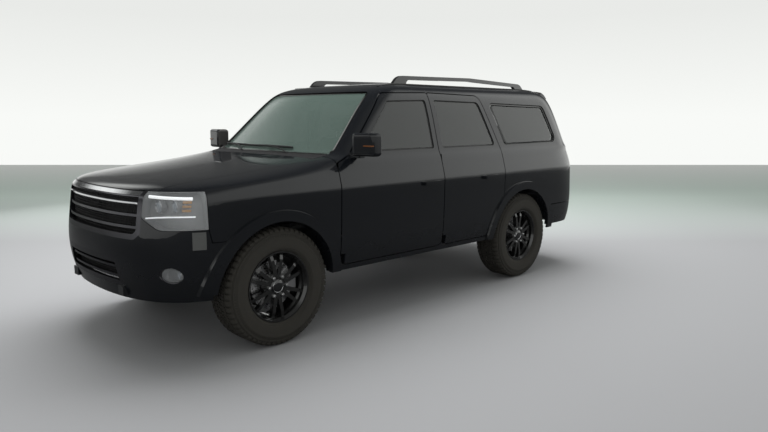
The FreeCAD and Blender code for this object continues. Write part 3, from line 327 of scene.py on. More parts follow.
towards = room.nodes.new("ShaderNodeTexCoord")
split = room.nodes.new("ShaderNodeSeparateXYZ")
room.links.new(towards.outputs["Generated"], split.inputs[0])
dx, dy, dz = (Wire(room, output) for output in split.outputs)
left_side = dy.step(-0.15, 0.15)
low_wall = 1 - dz.step(0.08, 0.17)
bank = dz.step(-0.09, 0.01) * (1 - dz.step(0.62, 0.85) * 0.8)
to_the_side = dx * across.x + dy * across.y
far_bank = dz.step(0.28, 0.36) * (1 - dz.step(0.46, 0.60)) * to_the_side.step(0.36, 0.46)
bank_level = bank * (1.35 - dx.step(-0.92, -0.55) * 0.5) + 0.05
mirrored_room = (low_wall * 0.80 + far_bank * 1.1 + 0.075) * (1 - left_side) + bank_level * left_side
wall_seen = 0.955 - dz.step(0.0, 0.14) * 0.13
light_path = room.nodes.new("ShaderNodeLightPath")
camera_ray, clear_ray, mirror_ray = (Wire(room, light_path.outputs[f"Is {kind} Ray"])
                                     for kind in ("Camera", "Transmission", "Glossy"))
mixed = room_light(0.42)
for share, level in ((mirror_ray, mirrored_room), (camera_ray.at_least(clear_ray), wall_seen)):
    choose = room.nodes.new("ShaderNodeMixShader")
    room.links.new(share.output, choose.inputs[0])
    room.links.new(mixed.outputs[0], choose.inputs[1])
    room.links.new(room_light(level).outputs[0], choose.inputs[2])
    mixed = choose
room_out = room.nodes.new("ShaderNodeOutputWorld")
room.links.new(mixed.outputs[0], room_out.inputs["Surface"])
bpy.context.scene.view_settings.view_transform = "Standard"
print("studio ready")

# %% [markdown]
# ## Paint
# Black car paint is a nearly black base under a clear coat. Three things keep it from looking like a hole:
# the coat's slight orange peel, which softens reflections, a faint blue flake that only shows in the light,
# and a breath of dust low on the sills. The insides of the doors and the tailgate are trim, not paint, so the
# same finish switches to grey moulded trim where a surface faces the cabin.

# %% Paint with trim on the cabin side
paint_colour = (0.0065, 0.0075, 0.0095)
flake_colour = (0.020, 0.026, 0.036)
trim_colour = (0.060, 0.058, 0.056)
dust_colour = (0.065, 0.060, 0.055)


def toned(colour, factor):
    """A colour made lighter or darker."""
    return tuple(channel * factor for channel in colour)


def painted(name, cabin_side=None):
    """Black paint. cabin_side gives (wires of place, wires of direction) -> where it is trim instead."""
    finish = Finish(name)
    x, y, z = finish.axes()
    flake = finish.cells(2600.0)
    base = finish.mix((1 - flake * 1.6).at_least(0.0) * 0.35, paint_colour, flake_colour)
    dust = (1 - z.step(0.35, 0.85)) * finish.noise(5.0, 4.0) * 0.10
    base = finish.mix(dust, base, dust_colour)
    peel = finish.bump(finish.noise(260.0, 1.0), 0.018, 0.001)
    paint = finish.principled(base, Roughness=dust * 1.2 + 0.24, Normal=peel, Specular_IOR_Level=0.15,
                              Coat_Weight=0.85, Coat_Roughness=0.02)
    if cabin_side:
        grain = finish.bump(finish.cells(420.0), 0.25, 0.0006)
        trim = finish.principled(trim_colour, Roughness=0.62, Normal=grain)
        paint = finish.blend(cabin_side((x, y, z), finish.facing()), paint, trim)
    return finish.done(paint)


def faces_cabin(place, facing):
    """1 where a side panel faces inwards, away from its own side."""
    inward = place[1] * facing[1]
    return (inward < -0.25) * (place[1].absolute() < 0.925)


def under_side(place, facing):
    """1 where the tailgate or the roof faces inwards. The roof's front edge is painted all round."""
    return ((facing[2] < -0.25) + (facing[0] > 0.3) * (place[0] < -1.9)).at_most(1.0)


paint = painted("black_paint")
door_paint = painted("door_paint", faces_cabin)
lid_paint = painted("tailgate_paint", under_side)
print("paint ready")

# %% [markdown]
# ## Plastics, rubber and metal
# Moulded plastic has a fine leather-like grain and is never quite even in gloss. Rubber is browner and
# duller than plastic. Bare castings are rough and spotted, tube and frame paint is smoother. Each gets its
# own scale of variation.

# %% Moulded and rubbed finishes
def moulded(name, colour, roughness, grain_scale=900.0, grain=0.25):
    """Grained plastic or rubber."""
    finish = Finish(name)
    patches = finish.noise(6.0, 3.0)
    body = finish.mix(patches * 0.5, colour, toned(colour, 1.35))
    rough = patches * 0.12 + (roughness - 0.06)
    normal = finish.bump(finish.cells(grain_scale), grain, 0.0005)
    return finish.done(finish.principled(body, Roughness=rough, Normal=normal))


def rubbery(name, colour, roughness):
    """Rubber with a pale bloom."""
    finish = Finish(name)
    bloom = finish.noise(14.0, 5.0)
    body = finish.mix(bloom * 0.7, colour, toned(colour, 1.9))
    normal = finish.bump(finish.noise(700.0, 2.0), 0.12, 0.0008)
    return finish.done(finish.principled(body, Roughness=bloom * 0.2 + (roughness - 0.1), Normal=normal))


def metal(name, colour, roughness, metallic, spots, strength):
    """Bare, cast or plated metal."""
    finish = Finish(name)
    patches = finish.noise(spots, 4.0)
    body = finish.mix(patches * 0.6, colour, toned(colour, 0.72))
    normal = finish.bump(finish.noise(spots * 9, 3.0), strength, 0.0006)
    rough = patches * 0.18 + (roughness - 0.09)
    return finish.done(finish.principled(body, Roughness=rough, Metallic=metallic, Normal=normal))


def gloss(name, colour, roughness):
    """Smooth painted or moulded gloss."""
    finish = Finish(name)
    wear = finish.noise(22.0, 4.0)
    body = finish.mix(wear * 0.4, colour, toned(colour, 1.5))
    normal = finish.bump(finish.noise(300.0, 1.0), 0.02, 0.001)
    return finish.done(finish.principled(body, Roughness=wear * 0.05 + roughness, Normal=normal,
                                         Coat_Weight=0.8, Coat_Roughness=0.03))


black_plastic = moulded("black_plastic", (0.017, 0.017, 0.018), 0.52)
grey_plastic = moulded("grey_plastic", (0.13, 0.13, 0.135), 0.45)
cabin_plastic = moulded("cabin_plastic", (0.052, 0.050, 0.048), 0.6, 600.0, 0.4)
seal_rubber = rubbery("seal_rubber", (0.010, 0.010, 0.010), 0.55)
tyre_rubber = rubbery("tyre_rubber", (0.026, 0.024, 0.020), 0.88)
frame_paint = metal("frame_paint", (0.018, 0.018, 0.018), 0.45, 0.2, 30.0, 0.15)
casting = metal("casting", (0.30, 0.30, 0.31), 0.55, 0.8, 45.0, 0.4)
exhaust_steel = metal("exhaust_steel", (0.42, 0.38, 0.34), 0.42, 1.0, 25.0, 0.1)
bright_steel = metal("bright_steel", (0.62, 0.62, 0.63), 0.28, 1.0, 80.0, 0.05)
chrome = metal("chrome", (0.72, 0.73, 0.75), 0.12, 1.0, 12.0, 0.01)
dark_chrome = metal("dark_chrome", (0.10, 0.10, 0.11), 0.22, 0.9, 12.0, 0.02)
wheel_gloss = gloss("wheel_gloss", (0.008, 0.008, 0.008), 0.24)
gloss_black = gloss("gloss_black", (0.008, 0.008, 0.009), 0.06)
underbody_coat = moulded("underbody_coat", (0.024, 0.024, 0.024), 0.85, 240.0, 0.7)
print("plastics, rubber and metal ready")

# %% [markdown]
# ## Glass
# Automotive glass is thin next to its size. Letting light bend through it costs much and shows nothing, so a
# pane is a clear or tinted film with a sharp reflection: its alpha says how much of it is film. The
# windshield has the pale green of laminated glass, and the cabin windows are privacy dark.

# %% Tinted panes
def pane(name, colour, film):
    """Thin glass: film is the share of light that it stops."""
    finish = Finish(name)
    streaks = finish.noise(3.0, 3.0)
    return finish.done(finish.principled(colour, Roughness=streaks * 0.02, Alpha=streaks * 0.04 + film,
                                         Specular_IOR_Level=0.5, Coat_Weight=0.5, Coat_Roughness=0.0))


windshield_glass = pane("windshield_glass", (0.155, 0.215, 0.19), 0.44)
dark_glass = pane("dark_glass", (0.012, 0.016, 0.015), 0.84)
clear_lens = pane("clear_lens", (0.75, 0.78, 0.80), 0.10)
red_lens = pane("red_lens", (0.30, 0.006, 0.006), 0.72)
print("glass ready")

# %% Give every frame node its finish
def dress(finish, *names):
    """Gives frame nodes one finish."""
    for name in names:
        mesh = nodes[name].data
        mesh.materials.clear()
        mesh.materials.append(finish)


dress(paint, "hood", "fender_left", "fender_right", "front_bumper", "rear_bumper", "arch_flares")
dress(lid_paint, "tailgate", "roof_panel")
dress(door_paint, "body_side_left", "body_side_right", *(f"door_{corner}" for corner in car_corners))
dress(black_plastic, "cowl", "fuel_tank")
dress(dark_chrome, "grilles")
dress(gloss_black, "roof_rails")
dress(cabin_plastic, "dashboard", "seats")
dress(dark_glass, "tailgate_glass", *(f"glass_{corner}" for corner in car_corners))
dress(windshield_glass, "fixed_glass")
dress(clear_lens, "front_lamps")
dress(red_lens, "tail_lamps")
dress(underbody_coat, "floor_pan")
dress(frame_paint, "ladder_frame", "front_suspension", "rear_axle")
dress(casting, "powertrain", "knuckle_left", "knuckle_right")
dress(exhaust_steel, "exhaust")
dress(wheel_gloss, *(f"rim_{corner}" for corner in car_corners))
dress(tyre_rubber, "spare_wheel", *(f"tyre_{corner}" for corner in car_corners))
print("frame nodes dressed")

# %% [markdown]
# ## Copies round an axle, with Geometry Nodes
# Tread lugs, sidewall ribs, wheel nuts and disc holes are all the same idea: one small shape, repeated
# evenly round the wheel's axle. One node tree does it. It makes a point for each copy, turns the copy by its
# index, makes the copies real, because an instance isn't a mesh yet, and moves the ring to the hub. A second
# tree lays copies in rows, for the grille's mesh and the vanes of the air vents.

# %% Helpers for Geometry Nodes trees
def node_in(tree, kind, settings=None, **values):
    """Adds a node, with its inputs by name, and returns its first output."""
    made = tree.nodes.new(kind)
    for name, value in (settings or {}).items():
        setattr(made, name, value)
    for name, value in values.items():
        target = made.inputs[int(name[1:]) if name[0] == "_" else name.replace("_", " ")]
        tree.links.new(value.output if isinstance(value, Wire) else value, target)
    return made.outputs[0]


def tree_with(name, *inputs):
    """A Geometry Nodes tree with a Geometry input and output and some named inputs."""
    tree = bpy.data.node_groups.new(name, "GeometryNodeTree")
    tree.interface.new_socket("Geometry", in_out="INPUT", socket_type="NodeSocketGeometry")
    for title, kind in inputs:
        tree.interface.new_socket(title, in_out="INPUT", socket_type="NodeSocket" + kind)
    tree.interface.new_socket("Finish", in_out="INPUT", socket_type="NodeSocketMaterial")
    tree.interface.new_socket("Geometry", in_out="OUTPUT", socket_type="NodeSocketGeometry")
    return tree, tree.nodes.new("NodeGroupInput").outputs


def finish_tree(tree, given, copies, **move):
    """Ends a tree: real copies, moved when asked, in their finish."""
    shapes = node_in(tree, "GeometryNodeRealizeInstances", Geometry=copies)
    if move:
        shapes = node_in(tree, "GeometryNodeSetPosition", Geometry=shapes, **move)
    shapes = node_in(tree, "GeometryNodeSetMaterial", Geometry=shapes, Material=given["Finish"])
    tree.links.new(shapes, tree.nodes.new("NodeGroupOutput").inputs["Geometry"])
    return tree


print("tree helpers ready")

# %% Trees that repeat a shape round the Y axis, or in rows
def ring_tree():
    """A tree that repeats a shape evenly round the Y axis and moves the ring to a hub."""
    tree, given = tree_with("copies_round_an_axle", ("Count", "Int"), ("Hub", "Vector"),
                            ("Start Angle", "Float"))
    index = Wire(tree, node_in(tree, "GeometryNodeInputIndex"))
    step = index.math("DIVIDE", 2 * math.pi, Wire(tree, given["Count"]))
    turn = node_in(tree, "ShaderNodeCombineXYZ", Y=index * step + Wire(tree, given["Start Angle"]))
    points = node_in(tree, "GeometryNodePoints", Count=given["Count"])
    copies = node_in(tree, "GeometryNodeInstanceOnPoints", Points=points, Instance=given["Geometry"],
                     Rotation=turn)
    return finish_tree(tree, given, copies, Offset=given["Hub"])


def row_tree():
    """A tree that repeats a shape along a step, and that row along another."""
    tree, given = tree_with("copies_in_rows", ("Count", "Int"), ("Step", "Vector"), ("Rows", "Int"),
                            ("Row Step", "Vector"))
    count = Wire(tree, given["Count"])
    index = Wire(tree, node_in(tree, "GeometryNodeInputIndex"))
    row = index.math("FLOOR", index.math("DIVIDE", index, count))
    points = node_in(tree, "GeometryNodePoints", Count=count * Wire(tree, given["Rows"]))
    moves = [node_in(tree, "ShaderNodeVectorMath", {"operation": "SCALE"}, _0=given[step], Scale=number)
             for step, number in (("Step", index.math("MODULO", index, count)), ("Row Step", row))]
    both = node_in(tree, "ShaderNodeVectorMath", {"operation": "ADD"}, _0=moves[0], _1=moves[1])
    placed = node_in(tree, "GeometryNodeSetPosition", Geometry=points, Position=both)
    copies = node_in(tree, "GeometryNodeInstanceOnPoints", Points=placed, Instance=given["Geometry"])
    return finish_tree(tree, given, copies)


def grown_by(tree, piece, **values):
    """Runs a tree on a piece and keeps the plain mesh that comes out."""
    modifier = piece.modifiers.new("copies", "NODES")
    modifier.node_group = tree
    for item in tree.interface.items_tree:
        name = item.name.lower().replace(" ", "_")
        if item.in_out == "INPUT" and name in values:
            value = values[name]
            modifier[item.identifier] = list(value) if isinstance(value, Vector) else value
    graph = bpy.context.evaluated_depsgraph_get()
    mesh = bpy.data.meshes.new_from_object(piece.evaluated_get(graph))
    piece.modifiers.clear()
    piece.data = mesh
    return piece


axle_ring = ring_tree()
rows = row_tree()
print("trees:", axle_ring.name, "and", rows.name)

# %% Blocks, and a section turned round an axle
block_faces = [(0, 3, 2, 1), (4, 5, 6, 7), (0, 1, 5, 4), (1, 2, 6, 5), (2, 3, 7, 6), (3, 0, 4, 7)]


def boxed(low, high):
    """Corners and faces of a block."""
    (x0, y0, z0), (x1, y1, z1) = low, high
    corners = [(x, y, z) for z in (z0, z1) for x, y in ((x0, y0), (x1, y0), (x1, y1), (x0, y1))]
    return corners, block_faces


def joined(parts):
    """Several (corners, faces) as one."""
    vertices, faces = [], []
    for corners, quads in parts:
        offset = len(vertices)
        vertices += corners
        faces += [tuple(i + offset for i in quad) for quad in quads]
    return vertices, faces


def turned(name, section, centre, finish, steps, closed=True):
    """A section of (radius, offset along Y) points turned round an axle along Y."""
    mesh = bmesh.new()
    rings = []
    for i in range(steps):
        angle = 2 * math.pi * i / steps
        rings.append([mesh.verts.new(centre + Vector((r * math.cos(angle), y, r * math.sin(angle))))
                      for r, y in section])
    last = len(section) if closed else len(section) - 1
    for i in range(steps):
        here, following = rings[i], rings[(i + 1) % steps]
        for j in range(last):
            k = (j + 1) % len(section)
            mesh.faces.new((here[j], following[j], following[k], here[k]))
    bmesh.ops.remove_doubles(mesh, verts=mesh.verts, dist=1e-6)
    bmesh.ops.recalc_face_normals(mesh, faces=mesh.faces)
    return from_bmesh(name, mesh, finish)


print("blocks and turned sections ready")

# %% Small makers for finished pieces
def from_bmesh(name, mesh, finish, sharp=35):
    """A piece from a mesh under construction, smooth but for bends above so many degrees."""
    data = bpy.data.meshes.new(name)
    for face in mesh.faces:
        face.smooth = True
    for edge in mesh.edges:
        if len(edge.link_faces) == 2 and edge.calc_face_angle(0) > math.radians(sharp):
            edge.smooth = False
    mesh.to_mesh(data)
    mesh.free()
    data.materials.append(finish)
    return linked(name, data)


def merged(name, pieces):
    """Several mesh objects as one."""
    mesh = bmesh.new()
    finishes = []
    for piece in pieces:
        before = len(mesh.faces)
        mesh.from_mesh(piece.data)
        mesh.faces.ensure_lookup_table()
        finishes += [finish for finish in piece.data.materials if finish not in finishes]
        order = [finishes.index(finish) for finish in piece.data.materials]
        for face in mesh.faces[before:]:
            face.material_index = order[face.material_index] if order else 0
        bpy.data.objects.remove(piece)
    data = bpy.data.meshes.new(name)
    mesh.to_mesh(data)
    mesh.free()
    for finish in finishes:
        data.materials.append(finish)
    return linked(name, data)


def turn_outwards(mesh):
    """Turns all faces of a closed mesh outwards. A thin rim can mislead Blender, so the volume decides."""
    bmesh.ops.recalc_face_normals(mesh, faces=mesh.faces)
    if mesh.calc_volume(signed=True) < 0:
        bmesh.ops.reverse_faces(mesh, faces=mesh.faces)


def outward(piece):
    """Turns a piece's faces outwards."""
    mesh = bmesh.new()
    mesh.from_mesh(piece.data)
    turn_outwards(mesh)
    mesh.to_mesh(piece.data)
    mesh.free()
    return piece


def shares(count, first=0, last=1):
    """Evenly spaced numbers from the first to the last."""
    return [float(t) for t in np.linspace(first, last, count)]


print("mesh makers ready")

# %% [markdown]
# ## Tyres
# An all-terrain tyre is a smooth carcass with lugs on it. The carcass is one section turned round the axle: a
# bead seated on the rim, a bulging sidewall with a raised rim-guard rib, and a crown that lies one groove
# depth below the tread. The lugs come in a short pitch that repeats all the way round: shoulder lugs that
# wrap down the sidewall, two zigzag inner rows and a broken centre rib.

# %% The carcass section and one pitch of tread
groove_depth = 0.010
tread_half = tyre_width / 2 - 0.018
bead_radius = rim_radius - 0.014
pitch_count = 58
pitch_angle = 2 * math.pi / pitch_count


def carcass_section():
    """Half of the outline from the bead to the crown, then mirrored: (radius, offset)."""
    r, w = tyre_radius, tyre_width / 2
    rim = rim_radius
    half = [(bead_radius, w - 0.040), (rim + 0.004, w - 0.027), (rim + 0.010, w - 0.017),
            (rim + 0.018, w - 0.008), (rim + 0.022, w - 0.0085), (rim + 0.026, w - 0.004),
            (r - 0.115, w - 0.001), (r - 0.095, w), (r - 0.075, w - 0.0015), (r - 0.070, w - 0.0005),
            (r - 0.064, w - 0.0008), (r - 0.060, w - 0.0035), (r - 0.044, w - 0.009), (r - 0.026, w - 0.017),
            (r - 0.016, w - 0.026), (r - groove_depth - 0.003, w - 0.044), (r - groove_depth, w - 0.075)]
    return half + [(radius, -offset) for radius, offset in reversed(half)]


def lug(angle_from, angle_to, offset_from, offset_to, skew, drop=0.0):
    """One tread block: its footprint in angle and offset, skewed. drop lowers its outer edge."""
    corners = []
    middle = (angle_from + angle_to) / 2
    centre_offset = (offset_from + offset_to) / 2
    for radius, draft in ((tyre_radius - groove_depth - 0.004, 0.0), (tyre_radius - 0.0006, 0.10)):
        for a, o in ((angle_from, offset_from), (angle_to, offset_from), (angle_to, offset_to),
                     (angle_from, offset_to)):
            outer_edge = abs(o) == max(abs(offset_from), abs(offset_to))
            turn = (a + (middle - a) * draft + skew * (o - offset_from)) * pitch_angle
            reach = radius - (drop if outer_edge else 0.0)
            y = o + (centre_offset - o) * draft
            corners.append(Vector((reach * math.sin(turn), y, reach * math.cos(turn))))
    return corners, block_faces


def tread_pitch():
    """All lugs of one pitch, from the middle outwards."""
    edge = tread_half
    lugs = [lug(0.05, 0.50, 0.004, 0.024, 6.0), lug(0.55, 0.95, -0.024, -0.004, 6.0)]
    for side in (-1, 1):
        shift = 0.0 if side > 0 else 0.45
        for start, length in ((0.04, 0.40), (0.52, 0.40)):
            begin = start + shift
            lugs.append(lug(begin, begin + length, side * 0.031, side * 0.060, side * 7.0, 0.0006))
        lugs.append(lug(shift + 0.08, shift + 0.86, side * 0.068, side * (edge - 0.016), side * 2.0, 0.0022))
        lugs.append(lug(shift + 0.08, shift + 0.80, side * (edge - 0.018), side * (edge + 0.004), side * 2.0,
                        0.013))
    return joined(lugs)


def sidewall_rib(side):
    """A short raised rib on the shoulder, below a shoulder lug."""
    w = side * tyre_width / 2
    r = tyre_radius
    corners = []
    for low_depth, high_depth in ((0.006, 0.006), (0.0030, 0.0105)):
        for turn, drop, depth in ((-0.10, 0.056, low_depth), (0.10, 0.056, low_depth),
                                  (0.16, 0.034, high_depth), (-0.16, 0.034, high_depth)):
            angle, reach = turn * pitch_angle * 1.6, r - drop
            corners.append(Vector((reach * math.sin(angle), w - side * depth, reach * math.cos(angle))))
    return corners, block_faces


def tyre(name, hub):
    """A carcass with its lugs and ribs, round a hub."""
    carcass = turned(name + "_carcass", carcass_section(), hub, tyre_rubber, 120)
    pitch = outward(mesh_piece(name + "_tread", *tread_pitch(), tyre_rubber))
    grown_by(axle_ring, pitch, count=pitch_count, hub=hub, finish=tyre_rubber)
    rib_pair = joined([sidewall_rib(side) for side in (-1, 1)])
    ribs = outward(mesh_piece(name + "_ribs", *rib_pair, tyre_rubber))
    grown_by(axle_ring, ribs, count=pitch_count * 2, hub=hub, finish=tyre_rubber)
    return merged(name, [carcass, pitch, ribs])


for body, hub in wheel_bodies.items():
    tyre_node = body.replace("wheel", "tyre")
    piece = tyre(tyre_node + "_dress", hub)
    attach(piece, body)
    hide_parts(tyre_node)
print("tyres:", pitch_count, "pitches,", len(piece.data.polygons), "faces each")

# %% [markdown]
# ## What sits in the wheels
# The rim comes from the construction model. It gets a plain centre cap with a bright ring, six nuts in their
# holes, and a steel face on the outer side of the brake disc with three rings of dark marks, painted shade
# for its cooling holes.

# %% Nuts, caps and brake discs
nut_count, nut_circle, nut_radius, nut_y = 6, 0.06985, 0.0115, 0.086
cap_radius, cap_y = 0.052, 0.080
disc_inner, disc_outer, disc_y, disc_skin = 0.094, 0.166, 0.0125, 0.0012
hole_radius, holes_in_a_row, hole_rows = 0.0042, 18, (0.108, 0.130, 0.152)
cap_outline = [(0.0, 0.012), (0.020, 0.0115), (cap_radius - 0.010, 0.009), (cap_radius - 0.004, 0.0045),
               (cap_radius, -0.001), (cap_radius, -0.006), (0.0, -0.006)]
cap_ring = [(cap_radius - 0.0135, 0.0092), (cap_radius - 0.012, 0.0104), (cap_radius - 0.0105, 0.0086)]


def cone(mesh, facets, low_radius, high_radius, depth):
    """Adds a closed cone or cylinder along Z and returns its points."""
    made = bmesh.ops.create_cone(mesh, cap_ends=True, segments=facets, depth=depth,
                                 radius1=low_radius, radius2=high_radius)
    return made["verts"]


def nut(side):
    """A six-sided nut with a domed end, drawn above the axle."""
    mesh = bmesh.new()
    cone(mesh, 6, nut_radius, nut_radius, 0.020)
    bmesh.ops.translate(mesh, verts=cone(mesh, 12, 0.0095, 0.004, 0.006), vec=(0, 0, 0.0125))
    bmesh.ops.rotate(mesh, verts=mesh.verts, matrix=Matrix.Rotation(-side * math.pi / 2, 3, "X"))
    bmesh.ops.translate(mesh, verts=mesh.verts, vec=(0, side * nut_y, nut_circle))
    return from_bmesh("nut", mesh, bright_steel, 25)


def hole_shade_mark(side, radius):
    """A dark disc on the brake disc's face: painted shade where a cooling hole is."""
    mesh = bmesh.new()
    cone(mesh, 10, hole_radius, hole_radius, 0.0010)
    bmesh.ops.rotate(mesh, verts=mesh.verts, matrix=Matrix.Rotation(math.pi / 2, 3, "X"))
    bmesh.ops.translate(mesh, verts=mesh.verts, vec=(0, side * (disc_y + disc_skin), radius))
    return from_bmesh("hole", mesh, black_plastic, 25)


def turned_at(name, y, outline, side, hub, finish, steps, closed=True):
    """An outline of (radius, distance outwards) turned round a hub, at a distance from the wheel's middle."""
    section = [(radius, side * (y + out)) for radius, out in outline]
    return turned(name, section, hub, finish, steps, closed)


disc_face = [(disc_inner, 0.0), (disc_outer, 0.0), (disc_outer, disc_skin), (disc_inner, disc_skin)]
for body, hub in wheel_bodies.items():
    side = 1 if hub.y > 0 else -1
    fittings = [grown_by(axle_ring, nut(side), count=nut_count, hub=hub, start_angle=math.pi / 6,
                         finish=bright_steel),
                turned_at("cap", cap_y, cap_outline, side, hub, gloss_black, 48, closed=False),
                turned_at("cap_ring", cap_y, cap_ring, side, hub, chrome, 48),
                turned_at("brake_face", disc_y, disc_face, side, hub, bright_steel, 72)]
    # Rings of dark marks: painted shade for the cooling holes.
    for row, radius in enumerate(hole_rows):
        fittings.append(grown_by(axle_ring, hole_shade_mark(side, radius), count=holes_in_a_row, hub=hub,
                                 start_angle=row * 0.1, finish=black_plastic))
    dress_piece = merged(body + "_fittings", fittings)
    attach(dress_piece, body)
print("wheel fittings on", len(wheel_bodies), "wheels")

# %% [markdown]
# ## Lamps
# A headlamp is a clear shell over a bowl that is full of small bright things. The shell and the bowl both
# come from the construction model's lamp: its outer faces become a thin clear shell, and all its other faces
# become the bowl behind it. Inside sit two projectors, a thick light strip above them, a thin one below and
# an amber corner. The fog lamp is the same with one projector in a darker bowl.

# %% Split a frame node into its outer skin and the rest
def part_of(name, node, keep, finish, thickness):
    """The faces of a node that keep(centre, normal) picks, as a thin shell of their own."""
    mesh = bmesh.new()
    mesh.from_mesh(nodes[node].data)
    unwanted = [face for face in mesh.faces if not keep(face.calc_center_median(), face.normal)]
    bmesh.ops.delete(mesh, geom=unwanted, context="FACES")
    bmesh.ops.remove_doubles(mesh, verts=mesh.verts, dist=1e-5)
    piece = from_bmesh(name, mesh, finish, 30)
    shell = piece.modifiers.new("shell", "SOLIDIFY")
    shell.thickness = thickness
    shell.offset = -1.0
    shell.use_even_offset = True
    shell.thickness_clamp = 0.8
    return plain(piece)


def plain(piece):
    """Keeps what the modifiers make, as a plain mesh."""
    graph = bpy.context.evaluated_depsgraph_get()
    piece.data = bpy.data.meshes.new_from_object(piece.evaluated_get(graph))
    piece.modifiers.clear()
    return piece


def facing_out(centre, normal):
    """True on a lamp's outer surface, which faces the car's end at least a little."""
    ahead = 1 if centre.x > 0 else -1
    return normal.x * ahead > 0.015 and normal.y * centre.y > -0.2


lamp_low, lamp_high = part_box("front_lamps")
print("front lamps from", [round(v, 3) for v in lamp_low], "to", [round(v, 3) for v in lamp_high])

# %% Finishes that only lamps use
def glowing(name, colour, strength):
    """A lit lens. It shines for the picture only: its own light is small."""
    finish = Finish(name)
    flicker = finish.noise(80.0)
    shade = finish.mix(flicker * 0.3, colour, toned(colour, 0.85))
    return finish.done(finish.principled(shade, Roughness=0.2, Emission_Color=shade,
                                         Emission_Strength=strength))


strip_light = glowing("strip_light", (0.95, 0.97, 1.0), 0.5)
brow_light = glowing("brow_light", (0.90, 0.92, 0.93), 0.65)
amber_light = glowing("amber_light", (0.52, 0.33, 0.18), 0.05)
amber_smoke = glowing("amber_smoke", (0.20, 0.07, 0.02), 0.02)
reflector = metal("reflector", (0.78, 0.79, 0.80), 0.14, 1.0, 10.0, 0.01)
bowl = Finish("bowl_grey")
outward_share = bowl.axes()[1].absolute().step(0.66, 0.80)
bowl_colour = bowl.mix(outward_share, (0.10, 0.103, 0.106), (0.30, 0.306, 0.31))
bowl_grey = bowl.done(bowl.principled(bowl_colour, Roughness=bowl.noise(90.0) * 0.1 + 0.26))
fog_dark = moulded("fog_dark", (0.05, 0.052, 0.055), 0.30, 700.0, 0.08)
projector_glass = pane("projector_glass", (0.62, 0.70, 0.78), 0.30)


cup_outline = [(0.94, -1.0), (1.10, -0.9), (1.22, 0.05), (1.16, 0.10), (1.02, 0.0), (0.90, -0.75)]
ring_outline = [(1.00, 0.0), (1.12, 0.06), (1.10, 0.14), (1.02, 0.16), (0.97, 0.06)]
dome_outline = [(0.0, 0.34), (0.30, 0.32), (0.58, 0.24), (0.82, 0.12), (0.98, -0.04), (0.90, -0.10),
                (0.0, -0.10)]
back_outline = [(0.0, -0.80), (0.90, -0.70), (0.90, -0.76), (0.0, -0.90)]


def projector(centre, radius, length):
    """A lens in its ring, looking along +X: reflector cup, bright ring, domed glass and a mirror behind."""
    return [spun(name, [(r * radius, x * length) for r, x in outline], centre, finish, closed=closed)
            for name, outline, finish, closed in
            (("cup", cup_outline, bowl_grey, True), ("ring", ring_outline, chrome, True),
             ("dome", dome_outline, projector_glass, False), ("back", back_outline, reflector, False))]


def spun(name, section, centre, finish, steps=48, closed=True):
    """A section of (radius, offset along X) turned round an axle along X."""
    piece = turned(name, section, Vector((0, 0, 0)), finish, steps, closed)
    piece.data.transform(Matrix.Translation(centre) @ Matrix.Rotation(-math.pi / 2, 4, "Z"))
    return outward(piece)


print("lamp makers ready")

# %% Where a line meets the bodywork
def surface_of(*names):
    """A search tree over frame nodes, for finding the point of the bodywork under a given place."""
    mesh = bmesh.new()
    for name in names:
        mesh.from_mesh(nodes[name].data)
    tree = BVHTree.FromBMesh(mesh)
    mesh.free()
    return tree


def onto(tree, start, direction):
    """The first point on the surface from start, and its direction facing back."""
    place, normal, _, _ = tree.ray_cast(Vector(start), Vector(direction).normalized(), 4.0)
    if place is None:
        raise ValueError(f"nothing of the bodywork lies from {tuple(start)} along {tuple(direction)}")
    return place, normal


def line_on(tree, starts, direction, lift=0.0, shift=(0, 0, 0)):
    """Points on the surface under some places, lifted along its own direction and shifted."""
    found = [onto(tree, start, direction) for start in starts]
    return [place + normal * lift + Vector(shift) for place, normal in found]


forwards, backwards, downwards = (1, 0, 0), (-1, 0, 0), (0, 0, -1)
before_nose, before_glass, behind_tail, above_roof = 4.0, 2.0, -4.0, 2.4
print("the nose lies at x =", round(onto(surface_of("grilles"), (before_nose, 0, 1), backwards)[0].x, 3))

# %% A round bar along points
def tube(name, points, radius, finish, facets):
    """A round bar along points, as a mesh with closed ends."""
    data = bpy.data.curves.new(name, "CURVE")
    data.dimensions = "3D"
    data.bevel_depth = radius
    data.bevel_resolution = facets // 4
    data.use_fill_caps = True
    line = data.splines.new("POLY")
    line.points.add(len(points) - 1)
    for target, point in zip(line.points, points):
        target.co = (*point, 1)
    curve = linked(name, data)
    graph = bpy.context.evaluated_depsgraph_get()
    mesh = bpy.data.meshes.new_from_object(curve.evaluated_get(graph))
    bpy.data.objects.remove(curve)
    mesh.materials.clear()
    mesh.materials.append(finish)
    mesh.polygons.foreach_set("use_smooth", [True] * len(mesh.polygons))
    return linked(name, mesh)


print("bars ready")

# %% Headlamps and fog lamps
headlamp_skin = surface_of("front_lamps")
fog_lamp_top = 0.70
projectors = ((0.672, 0.036), (0.752, 0.034))
projector_z, projector_length = 0.985, 0.034
strip_start, strip_run, strip_z = 0.622, 0.232, 0.915
brow_run, brow_z = 0.215, 1.046
amber_start, amber_run, amber_rows = 0.808, 0.030, (0.965, 0.990, 1.015)
fog_y, fog_z, fog_radius, fog_length = 0.762, 0.568, 0.030, 0.024


def lens_point(y, z, depth):
    """A point so far behind the headlamp's outer skin, along X."""
    place, _ = onto(headlamp_skin, (before_nose, y, z), backwards)
    return place + Vector((-depth, 0, 0))


def bowl_of(headlamp):
    """Picks the inner faces of the headlamps, or else of the fog lamps."""
    return lambda centre, normal: not facing_out(centre, normal) and (centre.z > fog_lamp_top) == headlamp


